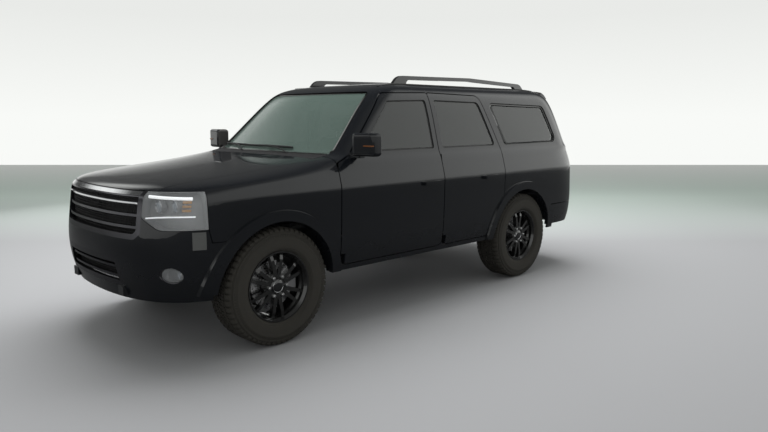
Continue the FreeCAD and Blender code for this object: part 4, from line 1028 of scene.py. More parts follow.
shell = part_of("lamp_shells", "front_lamps", facing_out, clear_lens, 0.003)
bowls = part_of("lamp_bowls", "front_lamps", bowl_of(True), bowl_grey, 0.002)
fog_bowls = part_of("fog_bowls", "front_lamps", bowl_of(False), fog_dark, 0.002)
inside = []
for side in (1, -1):
    for y, radius in projectors:
        reach = min(lens_point(side * edge, projector_z, 0.0).x for edge in (y + 0.9 * radius, y))
        inside += projector(Vector((reach - 0.022, side * y, projector_z)), radius, projector_length)
    strip = [lens_point(side * (strip_start + strip_run * t),
                        strip_z + 0.012 * t + 0.005 * math.sin(math.pi * t), 0.011) for t in shares(18)]
    brow = [lens_point(side * (strip_start + brow_run * t), brow_z - 0.010 * t, 0.016) for t in shares(14)]
    inside += [tube("strip", strip, 0.0048, strip_light, 8), tube("brow", brow, 0.0100, brow_light, 8)]
    for z in amber_rows:
        bar = [lens_point(side * (amber_start + amber_run * t), z, 0.014) for t in shares(5)]
        inside.append(tube("amber", bar, 0.0085, amber_light, 8))
    outer_rim, _ = onto(headlamp_skin, (before_nose, side * (fog_y + fog_radius), fog_z), backwards)
    inside += projector(Vector((outer_rim.x - 0.010, side * fog_y, fog_z)), fog_radius, fog_length)
lamps = merged("front_lamps_dress", [shell, bowls, fog_bowls] + inside)
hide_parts("front_lamps")
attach(lamps, "body")
print("front lamps", len(lamps.data.polygons), "faces")

# %% [markdown]
# ## Grille
# Behind the grille's bars lies a fine mesh, and behind that the radiator. The mesh is rows of one thin bar,
# upright and level. The rows come out straight. Their points are then moved back along the curve of the nose,
# so that the mesh lies just behind the bars all the way across. The radiator's fins are only a pattern.

# %% Mesh behind the bars, and the radiator
mesh_pitch, mesh_bar, mesh_depth, level_cells = 0.0165, 0.0022, 0.004, 40


def block_rows(name, low, high, finish, count, step, row_count=1, row_step=(0, 0, 0)):
    """A block repeated along a step, and that row along another."""
    block = outward(mesh_piece(name, *boxed(low, high), finish))
    return grown_by(rows, block, count=count, step=Vector(step), rows=row_count, row_step=Vector(row_step),
                    finish=finish)


def screen(name, x, half_width, low_z, high_z):
    """Upright and level thin bars behind an opening, bent back to the nose's curve."""
    start, back_x = (x, -half_width, low_z), x + mesh_depth
    uprights = block_rows(name + "_uprights", start, (back_x, mesh_bar - half_width, high_z),
                          black_plastic, int(2 * half_width / mesh_pitch), (0, mesh_pitch, 0))
    cell = half_width * 2 / level_cells
    levels = block_rows(name + "_levels", start, (back_x, cell - half_width, low_z + mesh_bar),
                        black_plastic, level_cells, (0, cell, 0), int((high_z - low_z) / mesh_pitch) + 1,
                        (0, 0, mesh_pitch))
    piece = merged(name, [uprights, levels])
    for vertex in piece.data.vertices:
        y2 = vertex.co.y ** 2
        vertex.co.x -= 0.165 * y2 + 0.20 * y2 * y2
    return piece


grille_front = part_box("grilles")[1].x
grille_skin = surface_of("grilles")
upper_mesh = screen("upper_mesh", grille_front - 0.062, 0.560, 0.800, 1.050)
lower_mesh = screen("lower_mesh", grille_front - 0.060, 0.385, 0.485, 0.640)
meshes = merged("grille_mesh", [upper_mesh, lower_mesh])
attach(meshes, "body")

fin_sheet = Finish("radiator_fins")
_, fin_y, fin_z = fin_sheet.axes()
fins = (fin_y * 1800).sine() * 0.5 + (fin_z * 420).sine() * 0.5
fin_normal = fin_sheet.bump(fins, 0.8, 0.002)
# The grooves between the fins are painted dark: painted shade that follows the bump.
fin_colour_painted_shade = fin_sheet.mix(fins.step(-0.6, 0.6), (0.02, 0.02, 0.021), (0.10, 0.10, 0.105))
fin_surface = fin_sheet.principled(fin_colour_painted_shade, Roughness=0.5, Metallic=0.6, Normal=fin_normal)
radiator_finish = fin_sheet.done(fin_surface)
radiator_x, core_half, tank_half_x, tank_half_y, tank_extra = 2.120, 0.36, 0.022, 0.022, 0.015
core_thick, core_low, core_high = 0.024, 0.60, 1.00
core = boxed((radiator_x - core_thick / 2, -core_half, core_low),
             (radiator_x + core_thick / 2, core_half, core_high))
side_tanks = [boxed((radiator_x - tank_half_x, y - tank_half_y, core_low - tank_extra),
                    (radiator_x + tank_half_x, y + tank_half_y, core_high + tank_extra))
              for y in (-core_half - 0.02, core_half + 0.02)]
radiator_core = outward(mesh_piece("radiator_core", *core, radiator_finish))
radiator_tanks = outward(mesh_piece("radiator_tanks", *joined(side_tanks), black_plastic))
radiator = merged("radiator", [radiator_core, radiator_tanks])
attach(radiator, "body")
print("grille mesh", len(meshes.data.polygons), "faces")

# %% [markdown]
# ## Strips on the nose
# Two bright bars lie on the grille, and a silver strip goes down the bumper's corner below each headlamp.
# They follow the surface under them: each point is found by looking at it from in front, or from the corner.

# %% Strips that lie on the grille and the bumper
def strip_on(name, tree, starts, direction, width_step, lift, finish):
    """A raised band on the bodywork between two rows of places seen along a direction."""
    lower, upper = ([onto(tree, Vector(start) + offset, direction) for start in starts]
                    for offset in (Vector((0, 0, 0)), Vector(width_step)))
    vertices, faces = [], []
    for (low, low_normal), (high, high_normal) in zip(lower, upper):
        edge = (high - low).normalized() * lift
        vertices += [low - low_normal * 0.001, low + low_normal * lift + edge * 0.6,
                     high + high_normal * lift - edge * 0.6, high - high_normal * 0.001]
    last = len(lower) - 1
    for i in range(last):
        a, b = 4 * i, 4 * (i + 1)
        faces += [(a, b, b + 1, a + 1), (a + 1, b + 1, b + 2, a + 2), (a + 2, b + 2, b + 3, a + 3),
                  (a + 3, b + 3, b, a)]
    faces += [(0, 1, 2, 3), (4 * last + 3, 4 * last + 2, 4 * last + 1, 4 * last)]
    return outward(mesh_piece(name, vertices, faces, finish))


front_skin = surface_of("front_bumper", "grilles", "front_lamps")
silver_paint = moulded("silver_paint", (0.095, 0.098, 0.095), 0.34, 700.0, 0.02)
lamp_foot_x, lamp_foot_y, lamp_foot_z, lamp_foot_height = 3.063, 1.866, 0.722, 0.112
bar_half, bars = 0.566, ((1.0495, 0.0235), (0.9960, 0.0120))
trims = []
for side in (1, -1):
    starts = [(lamp_foot_x - t, side * (lamp_foot_y + t), lamp_foot_z) for t in shares(12, -0.024, 0.030)]
    trims.append(strip_on("lamp_foot", front_skin, starts, (-1, -side, 0), (0, 0, lamp_foot_height), 0.004,
                          silver_paint))
for low_z, tall in bars:
    starts = [(before_nose, y, low_z) for y in shares(40, -bar_half, bar_half)]
    trims.append(strip_on("grille_bar", grille_skin, starts, backwards, (0, 0, tall), 0.003, chrome))
trim_piece = merged("front_trim", trims)
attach(trim_piece, "body")
print("front trim ready")

# %% [markdown]
# ## Window seals and the quarter panes
# Every pane sits in a rubber seal. The seal follows the pane's own edge, which is read from the frame: the
# outer faces of the pane are kept, their open edge is walked round, and a small rounded profile is drawn
# along it. A flat profile gives the black printed band of a glued pane, and a taller one the ring round a fog
# lamp. The construction model has no glass in the rear quarter windows, so those panes are made here: the
# edge of each opening is walked in the same way, and a surface fitted to the bodywork fills it.

# %% Walk round the edge of a pane's outer face
def edge_loops(node, picked):
    """Closed loops of (point, inward direction, surface direction) round the picked faces of a node."""
    mesh = bmesh.new()
    mesh.from_mesh(nodes[node].data)
    bmesh.ops.remove_doubles(mesh, verts=mesh.verts, dist=1e-5)
    away = [face for face in mesh.faces if not picked(face.calc_center_median(), face.normal)]
    bmesh.ops.delete(mesh, geom=away, context="FACES")
    left = {edge for edge in mesh.edges if len(edge.link_faces) == 1}
    loops = []
    while left:
        edge = left.pop()
        start, here = edge.verts
        chain = [start]
        while here is not start:
            chain.append(here)
            following = next((e for e in here.link_edges if e in left), None)
            if following is None:
                break
            left.discard(following)
            here = following.other_vert(here)
        if len(chain) > 8:
            loops.append(chain)
    walked = []
    for chain in loops:
        count = len(chain)
        points = [vertex.co.copy() for vertex in chain]
        middle = sum(points, Vector()) / count
        loop = []
        for i, (point, vertex) in enumerate(zip(points, chain)):
            normal = sum((face.normal for face in vertex.link_faces), Vector()).normalized()
            onward = (points[(i + 1) % count] - points[i - 1]).normalized()
            loop.append([point, normal.cross(onward).normalized(), normal])
        if sum((middle - point).dot(inward) for point, inward, _ in loop) < 0:
            loop = [[point, -inward, normal] for point, inward, normal in loop]
        walked.append(loop)
    mesh.free()
    return walked


def profile_round(name, loops, profile, finish):
    """Draws a closed profile of (distance inwards, height) points along every loop."""
    vertices, faces = [], []
    size = len(profile)
    for loop in loops:
        offset = len(vertices)
        for point, inward, normal in loop:
            vertices += [point + inward * away + normal * height for away, height in profile]
        for i in range(len(loop)):
            here, following = (offset + row * size for row in (i, (i + 1) % len(loop)))
            faces += [(here + j, following + j, following + (j + 1) % size, here + (j + 1) % size)
                      for j in range(size)]
    return outward(mesh_piece(name, vertices, faces, finish, smooth=True))


seal_profile = [(-0.0055, -0.006), (-0.0050, 0.0026), (-0.0015, 0.0042), (0.0060, 0.0030), (0.0110, 0.0010),
                (0.0112, 0.0002), (0.0, 0.0)]
print("seal makers ready")

# %% Makers of the quarter panes
glass_inset, pane_wall = 0.0093, 0.005


def outer_face(direction, least=0.4):
    """Picks the faces that look out in a direction."""
    direction = Vector(direction).normalized()
    return lambda centre, normal: normal.dot(direction) > least


def quarter_edge(side_name, side):
    """The edge of a rear quarter pane: its opening in the body side, set inwards like the other panes."""
    loops = edge_loops(f"body_side_{side_name}", outer_face((0, side, 0), 0.7))
    windows = [loop for loop in loops if all(-2.0 < p.x < -0.85 and 1.2 < p.z < 1.7 for p, _, _ in loop)]
    return [(point + inward * 0.0004 - Vector((0, side * glass_inset, 0)), inward, normal)
            for point, inward, normal in max(windows, key=len)]


def bulge_terms(x, z):
    """The terms of the pane's surface, whose weights are fitted."""
    return [1, x, z, x * x, x * z, z * z, x * x * z, x * z * z]


def quarter_pane(side_name, side, edge, rings=8):
    """A curved pane as rings round its middle. Its bulge is fitted to the bodywork round the opening."""
    skin = surface_of(f"body_side_{side_name}")
    middle = sum((point for point, _, _ in edge), Vector()) / len(edge)
    around = [(point.x, point.z, point.y) for point, _, _ in edge]
    for point, inward, _ in edge:
        beside = point - inward * 0.04
        place, _ = onto(skin, (beside.x, side * 2, beside.z), (0, -side, 0))
        around.append((place.x, place.z, place.y - side * glass_inset))
    known = [bulge_terms(x, z) for x, z, _ in around]
    bulge = np.linalg.lstsq(known, [y for _, _, y in around], rcond=None)[0]
    places = [point.lerp(middle, ring / rings) for ring in range(rings) for point, _, _ in edge] + [middle]
    vertices = [(place.x, float(np.dot(bulge_terms(place.x, place.z), bulge)), place.z) for place in places]
    count = len(edge)
    faces = []
    for ring in range(rings):
        for i in range(count):
            a, b = ring * count + i, ring * count + (i + 1) % count
            faces.append((a, b, b + count, a + count) if ring < rings - 1 else (a, b, rings * count))
    pane = mesh_piece("quarter_pane", vertices, faces, dark_glass, smooth=True)
    if pane.data.polygons[0].normal.y * side < 0:
        pane.data.flip_normals()
    thick = pane.modifiers.new("thick", "SOLIDIFY")
    thick.thickness = pane_wall
    thick.offset = -1.0
    return plain(pane)


print("pane makers ready")

# %% Seals on every pane and the printed band of the glued ones
def windshield_face(centre, normal):
    """True on the windshield's outer surface."""
    return centre.x > 0 and normal.x > 0.2 and normal.z > 0


def fog_lens(centre, normal):
    """True on a fog lamp's outer surface."""
    return facing_out(centre, normal) and centre.z <= fog_lamp_top


def printed_band(width):
    """The flat profile of the black band along a glued pane's edge."""
    return [(0.0, 0.0004), (width, 0.0004), (width, 0.0001), (0.0, 0.0001)]


band_black = gloss("printed_black", (0.004, 0.004, 0.004), 0.05)
for corner in car_corners:
    outwards = (0, 1 if "left" in corner else -1, 0)
    loops = edge_loops(f"glass_{corner}", outer_face(outwards))
    seal = profile_round(f"seal_{corner}", loops, seal_profile, seal_rubber)
    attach(seal, f"door_{corner}")
fixed_loops = edge_loops("fixed_glass", windshield_face)
fixed_seals = [profile_round("windshield_seal", fixed_loops, seal_profile, seal_rubber),
               profile_round("windshield_band", fixed_loops, printed_band(0.034), band_black)]
ring_profile = [(-0.011, -0.004), (-0.010, 0.0025), (-0.004, 0.0055), (0.003, 0.0040), (0.006, 0.0005),
                (0.0, -0.002)]
fixed_seals.append(profile_round("fog_ring", edge_loops("front_lamps", fog_lens), ring_profile, dark_chrome))
quarter_panes = []
for side_name, side in sides.items():
    edge = quarter_edge(side_name, side)
    quarter_panes.append(quarter_pane(side_name, side, edge))
    fixed_seals.append(profile_round("quarter_seal", [edge], seal_profile, seal_rubber))
    fixed_seals.append(profile_round("quarter_band", [edge], printed_band(0.026), band_black))
quarter_glass = merged("quarter_glass", quarter_panes)
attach(quarter_glass, "body")
print("quarter panes", len(quarter_glass.data.polygons), "faces")
fixed_seal = merged("fixed_seals", fixed_seals)
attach(fixed_seal, "body")
gate_loops = edge_loops("tailgate_glass", outer_face(backwards))
gate_seal = merged("tailgate_seal", [profile_round("gate_seal", gate_loops, seal_profile, seal_rubber),
                                     profile_round("gate_band", gate_loops, printed_band(0.030), band_black)])
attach(gate_seal, "tailgate")
print("seals:", len(fixed_loops), "windshield loop,", len(gate_loops), "tailgate loop")

# %% [markdown]
# ## Wipers, mirror glass and small fittings
# These all have to touch a curved surface, so each takes its place from it: a ray finds the glass, the door
# or the cowl, and the fitting is lifted off along the surface's own direction.

# %% Wipers at rest along the foot of the glass
glass_skin = surface_of("fixed_glass")
cowl_skin = surface_of("cowl")
gate_skin = surface_of("tailgate_glass", "tailgate")


def blade(name, tree, ends, direction, lift, count=16):
    """A wiper blade: a rubber lip on the glass and a slim carrier that arches over it."""
    low, high = [], []
    for t in shares(count):
        place, normal = onto(tree, Vector(ends[0]).lerp(Vector(ends[1]), t), direction)
        low.append(place + normal * 0.0035)
        high.append(place + normal * (lift + 0.004 * math.sin(math.pi * t)))
    return [tube(name + "_lip", low, 0.0028, seal_rubber, 6),
            tube(name + "_carrier", high, 0.0062, black_plastic, 8)]


def wiper(name, tree, ends, direction, pivot, pivot_normal, meeting=0.55, capped=False):
    """The blade, the arm from its pivot to the blade's middle, and a cap on a pivot that shows."""
    pieces = blade(name, tree, ends, direction, 0.013)
    start = Vector(ends[0]).lerp(Vector(ends[1]), meeting)
    place, normal = onto(tree, start, direction)
    hook = place + normal * 0.022
    base = pivot + pivot_normal * (0.020 if capped else 0.002)
    middle = base.lerp(hook, 0.45) + pivot_normal * 0.012
    arm = [base, base.lerp(middle, 0.5) + pivot_normal * 0.004, middle, middle.lerp(hook, 0.5), hook]
    pieces.append(tube(name + "_arm", arm, 0.0050, black_plastic, 8))
    if not capped:
        return pieces
    cap = spun(name + "_cap", [(0.0, 0.026), (0.011, 0.024), (0.0145, 0.018), (0.015, -0.004), (0.0, -0.004)],
               Vector((0, 0, 0)), black_plastic, 24, closed=False)
    turn = Vector(forwards).rotation_difference(pivot_normal).to_matrix().to_4x4()
    cap.data.transform(Matrix.Translation(pivot) @ turn)
    return pieces + [cap]


wiper_parts = []
pivot_x, above_cowl, blade_z, rear_blade_z, rear_pivot_z = 1.006, 2.0, 1.286, 1.300, 1.225
for index, (pivot_y, from_y, to_y) in enumerate(((0.33, 0.33, -0.27), (-0.30, -0.24, -0.70))):
    pivot, _ = onto(cowl_skin, (pivot_x, pivot_y, above_cowl), downwards)
    ends = ((before_glass, from_y, blade_z), (before_glass, to_y, blade_z))
    wiper_parts += wiper(f"wiper_{index}", glass_skin, ends, backwards, pivot, Vector((0, 0, 1)))
wipers = merged("wipers", wiper_parts)
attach(wipers, "body")
rear_ends = ((behind_tail, 0.02, rear_blade_z), (behind_tail, -0.40, rear_blade_z))
rear_pivot, rear_normal = onto(gate_skin, (behind_tail, 0.06, rear_pivot_z), forwards)
rear_parts = wiper("rear_wiper_part", gate_skin, rear_ends, forwards, rear_pivot, rear_normal, capped=True)
rear_wiper = merged("rear_wiper", rear_parts)
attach(rear_wiper, "tailgate")
print("wipers at", [round(v, 3) for v in pivot], "and", [round(v, 3) for v in rear_pivot])

# %% Mirror glass and indicator strips
silvered = Finish("silvered")
silver_haze = silvered.noise(4.0)
silver = silvered.mix(silver_haze, (0.80, 0.83, 0.84), (0.86, 0.88, 0.89))
mirror_finish = silvered.done(silvered.principled(silver, Roughness=silver_haze * 0.01 + 0.005, Metallic=1.0))


def rounded_plate(name, middle, half_y, half_z, radius, thick, finish, steps=8):
    """A flat plate with rounded corners, facing backwards."""
    mesh = bmesh.new()
    outline = []
    for cy, cz, first in ((1, 1, 0), (-1, 1, 90), (-1, -1, 180), (1, -1, 270)):
        for k in range(steps + 1):
            angle = math.radians(first + 90 * k / steps)
            outline.append((cy * (half_y - radius) + radius * math.cos(angle),
                            cz * (half_z - radius) + radius * math.sin(angle)))
    front = [mesh.verts.new(middle - Vector((thick, -y, -z))) for y, z in outline]
    back = [mesh.verts.new(middle + Vector((0, y, z))) for y, z in outline]
    mesh.faces.new(front)
    mesh.faces.new(back)
    for i in range(len(outline)):
        k = (i + 1) % len(outline)
        mesh.faces.new((front[i], front[k], back[k], back[i]))
    bmesh.ops.recalc_face_normals(mesh, faces=mesh.faces)
    return from_bmesh(name, mesh, finish, 30)


behind_mirror, mirror_y, mirror_z, indicator_z, foot_z = 0.2, 1.012, 1.330, 1.322, 1.262
indicator_ys, foot_ys = shares(10, 1.035, 1.115), shares(12, 0.925, 1.110)
for side_name, side in sides.items():
    door = "door_front_" + side_name
    door_skin = surface_of(door)
    back_face, _ = onto(door_skin, (behind_mirror, side * mirror_y, mirror_z), forwards)
    glass_place = back_face - Vector((0.002, 0, 0))
    indicator = line_on(door_skin, [(before_glass, side * y, indicator_z) for y in indicator_ys], backwards,
                        0.0005)
    foot = line_on(door_skin, [(before_glass, side * y, foot_z) for y in foot_ys], backwards, 0.0004)
    mirror_piece = merged("mirror_fittings_" + side_name, [
        rounded_plate("mirror_rim", back_face, 0.092, 0.064, 0.030, 0.0030, black_plastic),
        rounded_plate("mirror_glass", glass_place, 0.087, 0.059, 0.026, 0.0022, mirror_finish),
        tube("indicator", indicator, 0.0052, amber_smoke, 8),
        tube("mirror_foot", foot, 0.0030, black_plastic, 6)])
    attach(mirror_piece, door)
print("mirrors ready")

# %% Roof strips and the fuel flap's line
ditch_y, ditch_xs = 0.5872, shares(40, 0.24, -1.88)
for side_name, side in sides.items():
    roof_skin = surface_of("roof_panel", "body_side_" + side_name)
    ditch = line_on(roof_skin, [(x, side * ditch_y, above_roof) for x in ditch_xs], downwards,
                    shift=(0, 0, 0.0015))
    strip = tube("roof_strip_" + side_name, ditch, 0.0060, seal_rubber, 8)
    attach(strip, "body")
flap_x, flap_z, flap_half_x, flap_half_z, flap_roundness = -1.745, 0.985, 0.088, 0.078, 0.35


def flap_corner(turn):
    """A place beside the flap's rounded square, at an angle round its middle."""
    across, up = (math.copysign(abs(part) ** flap_roundness, part)
                  for part in (math.cos(turn), math.sin(turn)))
    return flap_x + flap_half_x * across, -2.0, flap_z + flap_half_z * up


outline = [flap_corner(turn) for turn in shares(49, 0, 2 * math.pi)]
flap = line_on(surface_of("body_side_right"), outline, (0, 1, 0), -0.0008)
flap_line = tube("fuel_flap_line", flap, 0.0022, seal_rubber, 6)
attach(flap_line, "body")
print("strips and flap ready")

# %% [markdown]
# ## Rear lamps and rear trim
# The rear lamp is made the way the headlamp is: red shell, bowl, and inside it two red light guides with two
# bright bars between them. The rear bumper carries two strips of step pad and two reflectors, and a sill
# closes the step up to the load floor. The tailgate has a high brake lamp and a grip with a bright line.

# %% Rear lamps
tail_skin = surface_of("tail_lamps")
tail_low, tail_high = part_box("tail_lamps")
tail_middle = (tail_low.z + tail_high.z) / 2
tail_half = (tail_high.z - tail_low.z) / 2
tail_shell = part_of("tail_shells", "tail_lamps", facing_out, red_lens, 0.003)
tail_bowl = part_of("tail_bowls", "tail_lamps", lambda *face: not facing_out(*face), bowl_grey, 0.002)
red_guide = glowing("red_guide", (0.75, 0.02, 0.015), 0.35)
guides = ((0.78, red_guide), (-0.78, red_guide), (0.30, reflector), (-0.30, reflector))
guide_ys = shares(10, 0.745, 0.840)
inside = []
for side in (1, -1):
    for height, finish in guides:
        guide_z = tail_middle + height * tail_half
        found = [tail_skin.ray_cast(Vector((behind_tail, side * y, guide_z)), Vector(forwards))[0]
                 for y in guide_ys]
        guide = [place + Vector((0.012, 0, 0)) for place in found if place is not None]
        if len(guide) > 2:
            inside.append(tube("guide", guide, 0.0060, finish, 8))
tails = merged("tail_lamps_dress", [tail_shell, tail_bowl] + inside)
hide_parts("tail_lamps")
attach(tails, "body")
print("rear lamps", len(tails.data.polygons), "faces")

# %% Step pad, reflectors and the load sill
rear_skin = surface_of("rear_bumper")
reflector_z, reflector_ys, pad_half = 0.505, shares(10, 0.640, 0.760), 0.52
pieces = []
for side in (1, -1):
    starts = [(behind_tail, side * y, reflector_z) for y in reflector_ys]
    pieces.append(strip_on("reflector", rear_skin, starts, forwards, (0, 0, 0.030), 0.003, red_lens))
for z in (0.470, 0.628):
    starts = [(behind_tail, y, z) for y in shares(30, -pad_half, pad_half)]
    pieces.append(strip_on("pad", rear_skin, starts, forwards, (0, 0, 0.014), 0.003, black_plastic))
load_floor_under, sill_height, sill_depth, sill_wall, sill_half = 0.714, 0.640, 0.075, 0.004, 0.698
sill_section = [(0.0, sill_height), (sill_depth, sill_height), (sill_depth, load_floor_under),
                (sill_depth - sill_wall, load_floor_under), (sill_depth - sill_wall, sill_height + sill_wall),
                (0.0, sill_height + sill_wall)]
sill_starts = [(behind_tail, y, sill_height) for y in shares(30, -sill_half, sill_half)]
sill_edge = line_on(rear_skin, sill_starts, forwards, shift=(0.018, 0, 0))
sill_points = [(place.x + reach, place.y, z) for place in sill_edge for reach, z in sill_section]
size, last = len(sill_section), len(sill_edge) - 1
sill_faces = [tuple(range(size)), tuple(range(size * last, size * last + size))]
for row in range(last):
    for k in range(size):
        a, b = row * size + k, row * size + (k + 1) % size
        sill_faces.append((a, b, b + size, a + size))
load_sill = outward(mesh_piece("load_sill", sill_points, sill_faces, black_plastic))
rear_trim = merged("rear_trim", pieces + [load_sill])
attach(rear_trim, "body")
print("rear bumper's strips and sill ready")

# %% High brake lamp and the tailgate's grip
gate_body = surface_of("tailgate")
high_lamp_z, high_lamp_ys = 1.765, shares(15, -0.17, 0.17)
brake_line = line_on(gate_body, [(behind_tail, y, high_lamp_z) for y in high_lamp_ys], forwards, 0.0005)
gate_parts = [tube("high_lamp", brake_line, 0.0070, red_lens, 8)]
for name, half, z, tall, lift, finish in (("grip", 0.30, 1.010, 0.050, 0.012, gloss_black),
                                          ("grip_line", 0.34, 1.070, 0.010, 0.010, chrome)):
    starts = [(behind_tail, y, z) for y in shares(20, -half, half)]
    gate_parts.append(strip_on(name, gate_body, starts, forwards, (0, 0, tall), lift, finish))
gate_trim = merged("tailgate_trim", gate_parts)
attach(gate_trim, "tailgate")
print("rear trim ready")

# %% [markdown]
# ## Seats
# A car seat's cushion is foam under leather: crowned across, fuller at the bolsters, with its edges rounded
# over, and pulled in along its seams. One maker draws all of them. It follows a centre line in the side view,
# and for every place along and across it works out how thick the foam is there.

# %% Leather and the cushion maker
hide = Finish("seat_leather")
grain = hide.cells(520.0)
creases = hide.noise(9.0, 6.0, 0.6)
hide_colour = hide.mix(creases * 0.8, (0.030, 0.028, 0.026), (0.052, 0.048, 0.045))
hide_height = grain * 0.6 + creases * 1.6
seat_leather = hide.done(hide.principled(hide_colour, Roughness=creases * 0.22 + 0.36,
                                         Normal=hide.bump(hide_height, 0.30, 0.0012)))
stitch_thread = moulded("stitch_thread", (0.11, 0.10, 0.095), 0.7, 1500.0, 0.3)


def along(path, share):
    """The place and the upward direction at a share of a path of (x, z) points."""
    points = np.array(path, float)
    lengths = np.concatenate([[0], np.cumsum(np.linalg.norm(np.diff(points, axis=0), axis=1))])

    def at(distance):
        x, z = (float(np.interp(distance, lengths, points[:, i])) for i in (0, 1))
        return Vector((x, 0, z))

    middle = share * lengths[-1]
    run = (at(min(middle + 0.01, lengths[-1])) - at(max(middle - 0.01, 0))).normalized()
    return at(middle), Vector((run.z, 0, -run.x))


def foam(u, v, bolster, channels):
    """How full the cushion is at u across and v along, both from -1 to 1."""
    edge_u = max(0.0, 1 - abs(u) ** 5)
    edge_v = max(0.0, 1 - abs(v) ** 6)
    full = (edge_u ** 0.45) * (edge_v ** 0.40)
    side_roll = bolster * math.exp(-((abs(u) - 0.80) / 0.13) ** 2) * edge_v ** 0.5
    pull = sum(0.16 * math.exp(-((v - channel) / 0.035) ** 2) for channel in channels if abs(u) < 0.66)
    seam = 0.14 * math.exp(-((abs(u) - 0.64) / 0.03) ** 2) if bolster else 0.0
    return full * (0.84 + 0.10 * (1 - u * u)) + side_roll - (pull + seam) * edge_v ** 0.5


def cushion(name, path, middle_y, half_width, thick, bolster, channels=(-0.4, 0.0, 0.4), across=44, down=48):
    """A closed pad on a path: its upper side is foam, its lower side nearly flat."""
    vertices, faces = [], []
    for top in (True, False):
        for i in range(down + 1):
            v = -1 + 2 * i / down
            place, up = along(path, (v + 1) / 2)
            pinch = 1 - 0.035 * abs(v) ** 4
            for j in range(across + 1):
                u = -1 + 2 * j / across
                full = foam(u, v, bolster, channels) if top else -0.18 * (1 - u ** 6) * (1 - v ** 6)
                sideways = Vector((0, middle_y + u * half_width * pinch, 0))
                vertices.append(place + up * (thick * full) + sideways)
    size = across + 1
    base = (down + 1) * size
    for i in range(down):
        for j in range(across):
            a = i * size + j
            faces.append((a, a + 1, a + size + 1, a + size))
            faces.append((base + a, base + a + size, base + a + size + 1, base + a + 1))
    piece = mesh_piece(name, vertices, faces, seat_leather, smooth=True)
    mesh = bmesh.new()
    mesh.from_mesh(piece.data)
    bmesh.ops.remove_doubles(mesh, verts=mesh.verts, dist=1e-5)
    rim = [edge for edge in mesh.edges if len(edge.link_faces) == 1]
    if rim:
        bmesh.ops.bridge_loops(mesh, edges=rim)
    turn_outwards(mesh)
    for face in mesh.faces:
        face.smooth = True
    mesh.to_mesh(piece.data)
    mesh.free()
    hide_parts("seats")
    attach(piece, "body")
    return piece


def seam_line(path, middle_y, half_width, thick, u, bolster):
    """A stitched line along a cushion."""
    points = []
    for v in shares(26, -0.86, 0.86):
        place, up = along(path, (v + 1) / 2)
        lift = up * (thick * foam(u, v, bolster, ()) + 0.0006)
        points.append(place + lift + Vector((0, middle_y + u * half_width, 0)))
    return tube("stitch", points, 0.0016, stitch_thread, 6)


print("cushion maker ready")

# %% Front seats, rear bench and head restraints
def seat_paths(x):
    """The lines under the cushion's and the back's foam, in the side view."""
    return ([(x + 0.475, 0.745), (x + 0.30, 0.735), (x + 0.06, 0.752)],
            [(x + 0.005, 0.815), (x - 0.075, 1.08), (x - 0.135, 1.330)])


def restraint_path(x, z):
    """The line under a head restraint's foam, in the side view."""
    return [(x - 0.128, z + 0.045), (x - 0.140, z + 0.11), (x - 0.150, z + 0.178)]


stitches, shells = [], []
front_x, front_y, bench_x, bench_y = 0.02, 0.375, -0.745, 0.325
foam_thick, rest_half, rest_thick, post_y, post_x = 0.085, 0.122, 0.055, 0.060, 0.148


def seat_row(name, x, middles, half_width, back_half, bolster):
    """A cushion and a back for every seat of a row, with two stitched seams on each."""
    low, back = seat_paths(x)
    for number, y in enumerate(middles):
        for part, path, half in (("cushion", low[::-1], half_width), ("back", back, back_half)):
            cushion(f"{name}_{number}_{part}", path, y, half, foam_thick, bolster)
            stitches.extend(seam_line(path, y, half, foam_thick, u, bolster) for u in (-0.64, 0.64))


def head_rest(name, x, y, z):
    """A head restraint on its two posts."""
    cushion(name, restraint_path(x, z), y, rest_half, rest_thick, 0.0, (), 24, 20)
    for side in (-1, 1):
        post = [Vector((x - post_x, y + side * post_y, z + height)) for height in (-0.03, 0.07)]
        shells.append(tube("post", post, 0.006, bright_steel, 8))


for side_name, side in sides.items():
    seat_row(f"front_seat_{side_name}", front_x, (side * front_y,), 0.250, 0.245, 0.30)
    head_rest(f"front_rest_{side_name}", front_x, side * front_y, 1.35)
seat_row("bench", bench_x, (-bench_y, bench_y), 0.318, 0.316, 0.12)
for number, y in enumerate((-0.42, 0.0, 0.42)):
    head_rest(f"bench_rest_{number}", bench_x, y, 1.34)
print("cushions and head restraints ready, with", len(stitches), "stitched seams")

# %% Hard shells and feet
def side_shell(x, y, half, low):
    """The seat's hard shell: side covers and back panel, down to a height."""
    outline = [(x + 0.470, low), (x + 0.480, 0.752), (x + 0.05, 0.757), (x - 0.005, 0.80), (x - 0.115, 1.330),
               (x - 0.190, 1.335), (x - 0.112, low)]
    mesh = bmesh.new()
    right, left = ([mesh.verts.new(Vector((px, side_y, pz))) for px, pz in outline]
                   for side_y in (y - half, y + half))
    mesh.faces.new(right)
    mesh.faces.new(left)
    for i in range(len(outline)):
        k = (i + 1) % len(outline)
        mesh.faces.new((right[i], right[k], left[k], left[i]))
    bmesh.ops.bevel(mesh, geom=list(mesh.edges), offset=0.014, segments=3, affect="EDGES", clamp_overlap=True)
    bmesh.ops.recalc_face_normals(mesh, faces=mesh.faces)
    return from_bmesh("seat_shell", mesh, cabin_plastic, 40)


cabin_floor, shell_low = 0.5205, 0.700
for side in (1, -1):
    shells.append(side_shell(front_x, side * front_y, 0.236, shell_low))
    for foot_y in (side * front_y - 0.17, side * front_y + 0.17):
        foot = boxed((-0.05, foot_y - 0.022, cabin_floor), (0.43, foot_y + 0.022, shell_low))
        shells.append(outward(mesh_piece("seat_base", *foot, cabin_plastic)))
shells.append(side_shell(bench_x, 0.0, 0.640, 0.748))
seat_hard = merged("seat_shells", shells + stitches)
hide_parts("seats")
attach(seat_hard, "body")
print("seats ready")

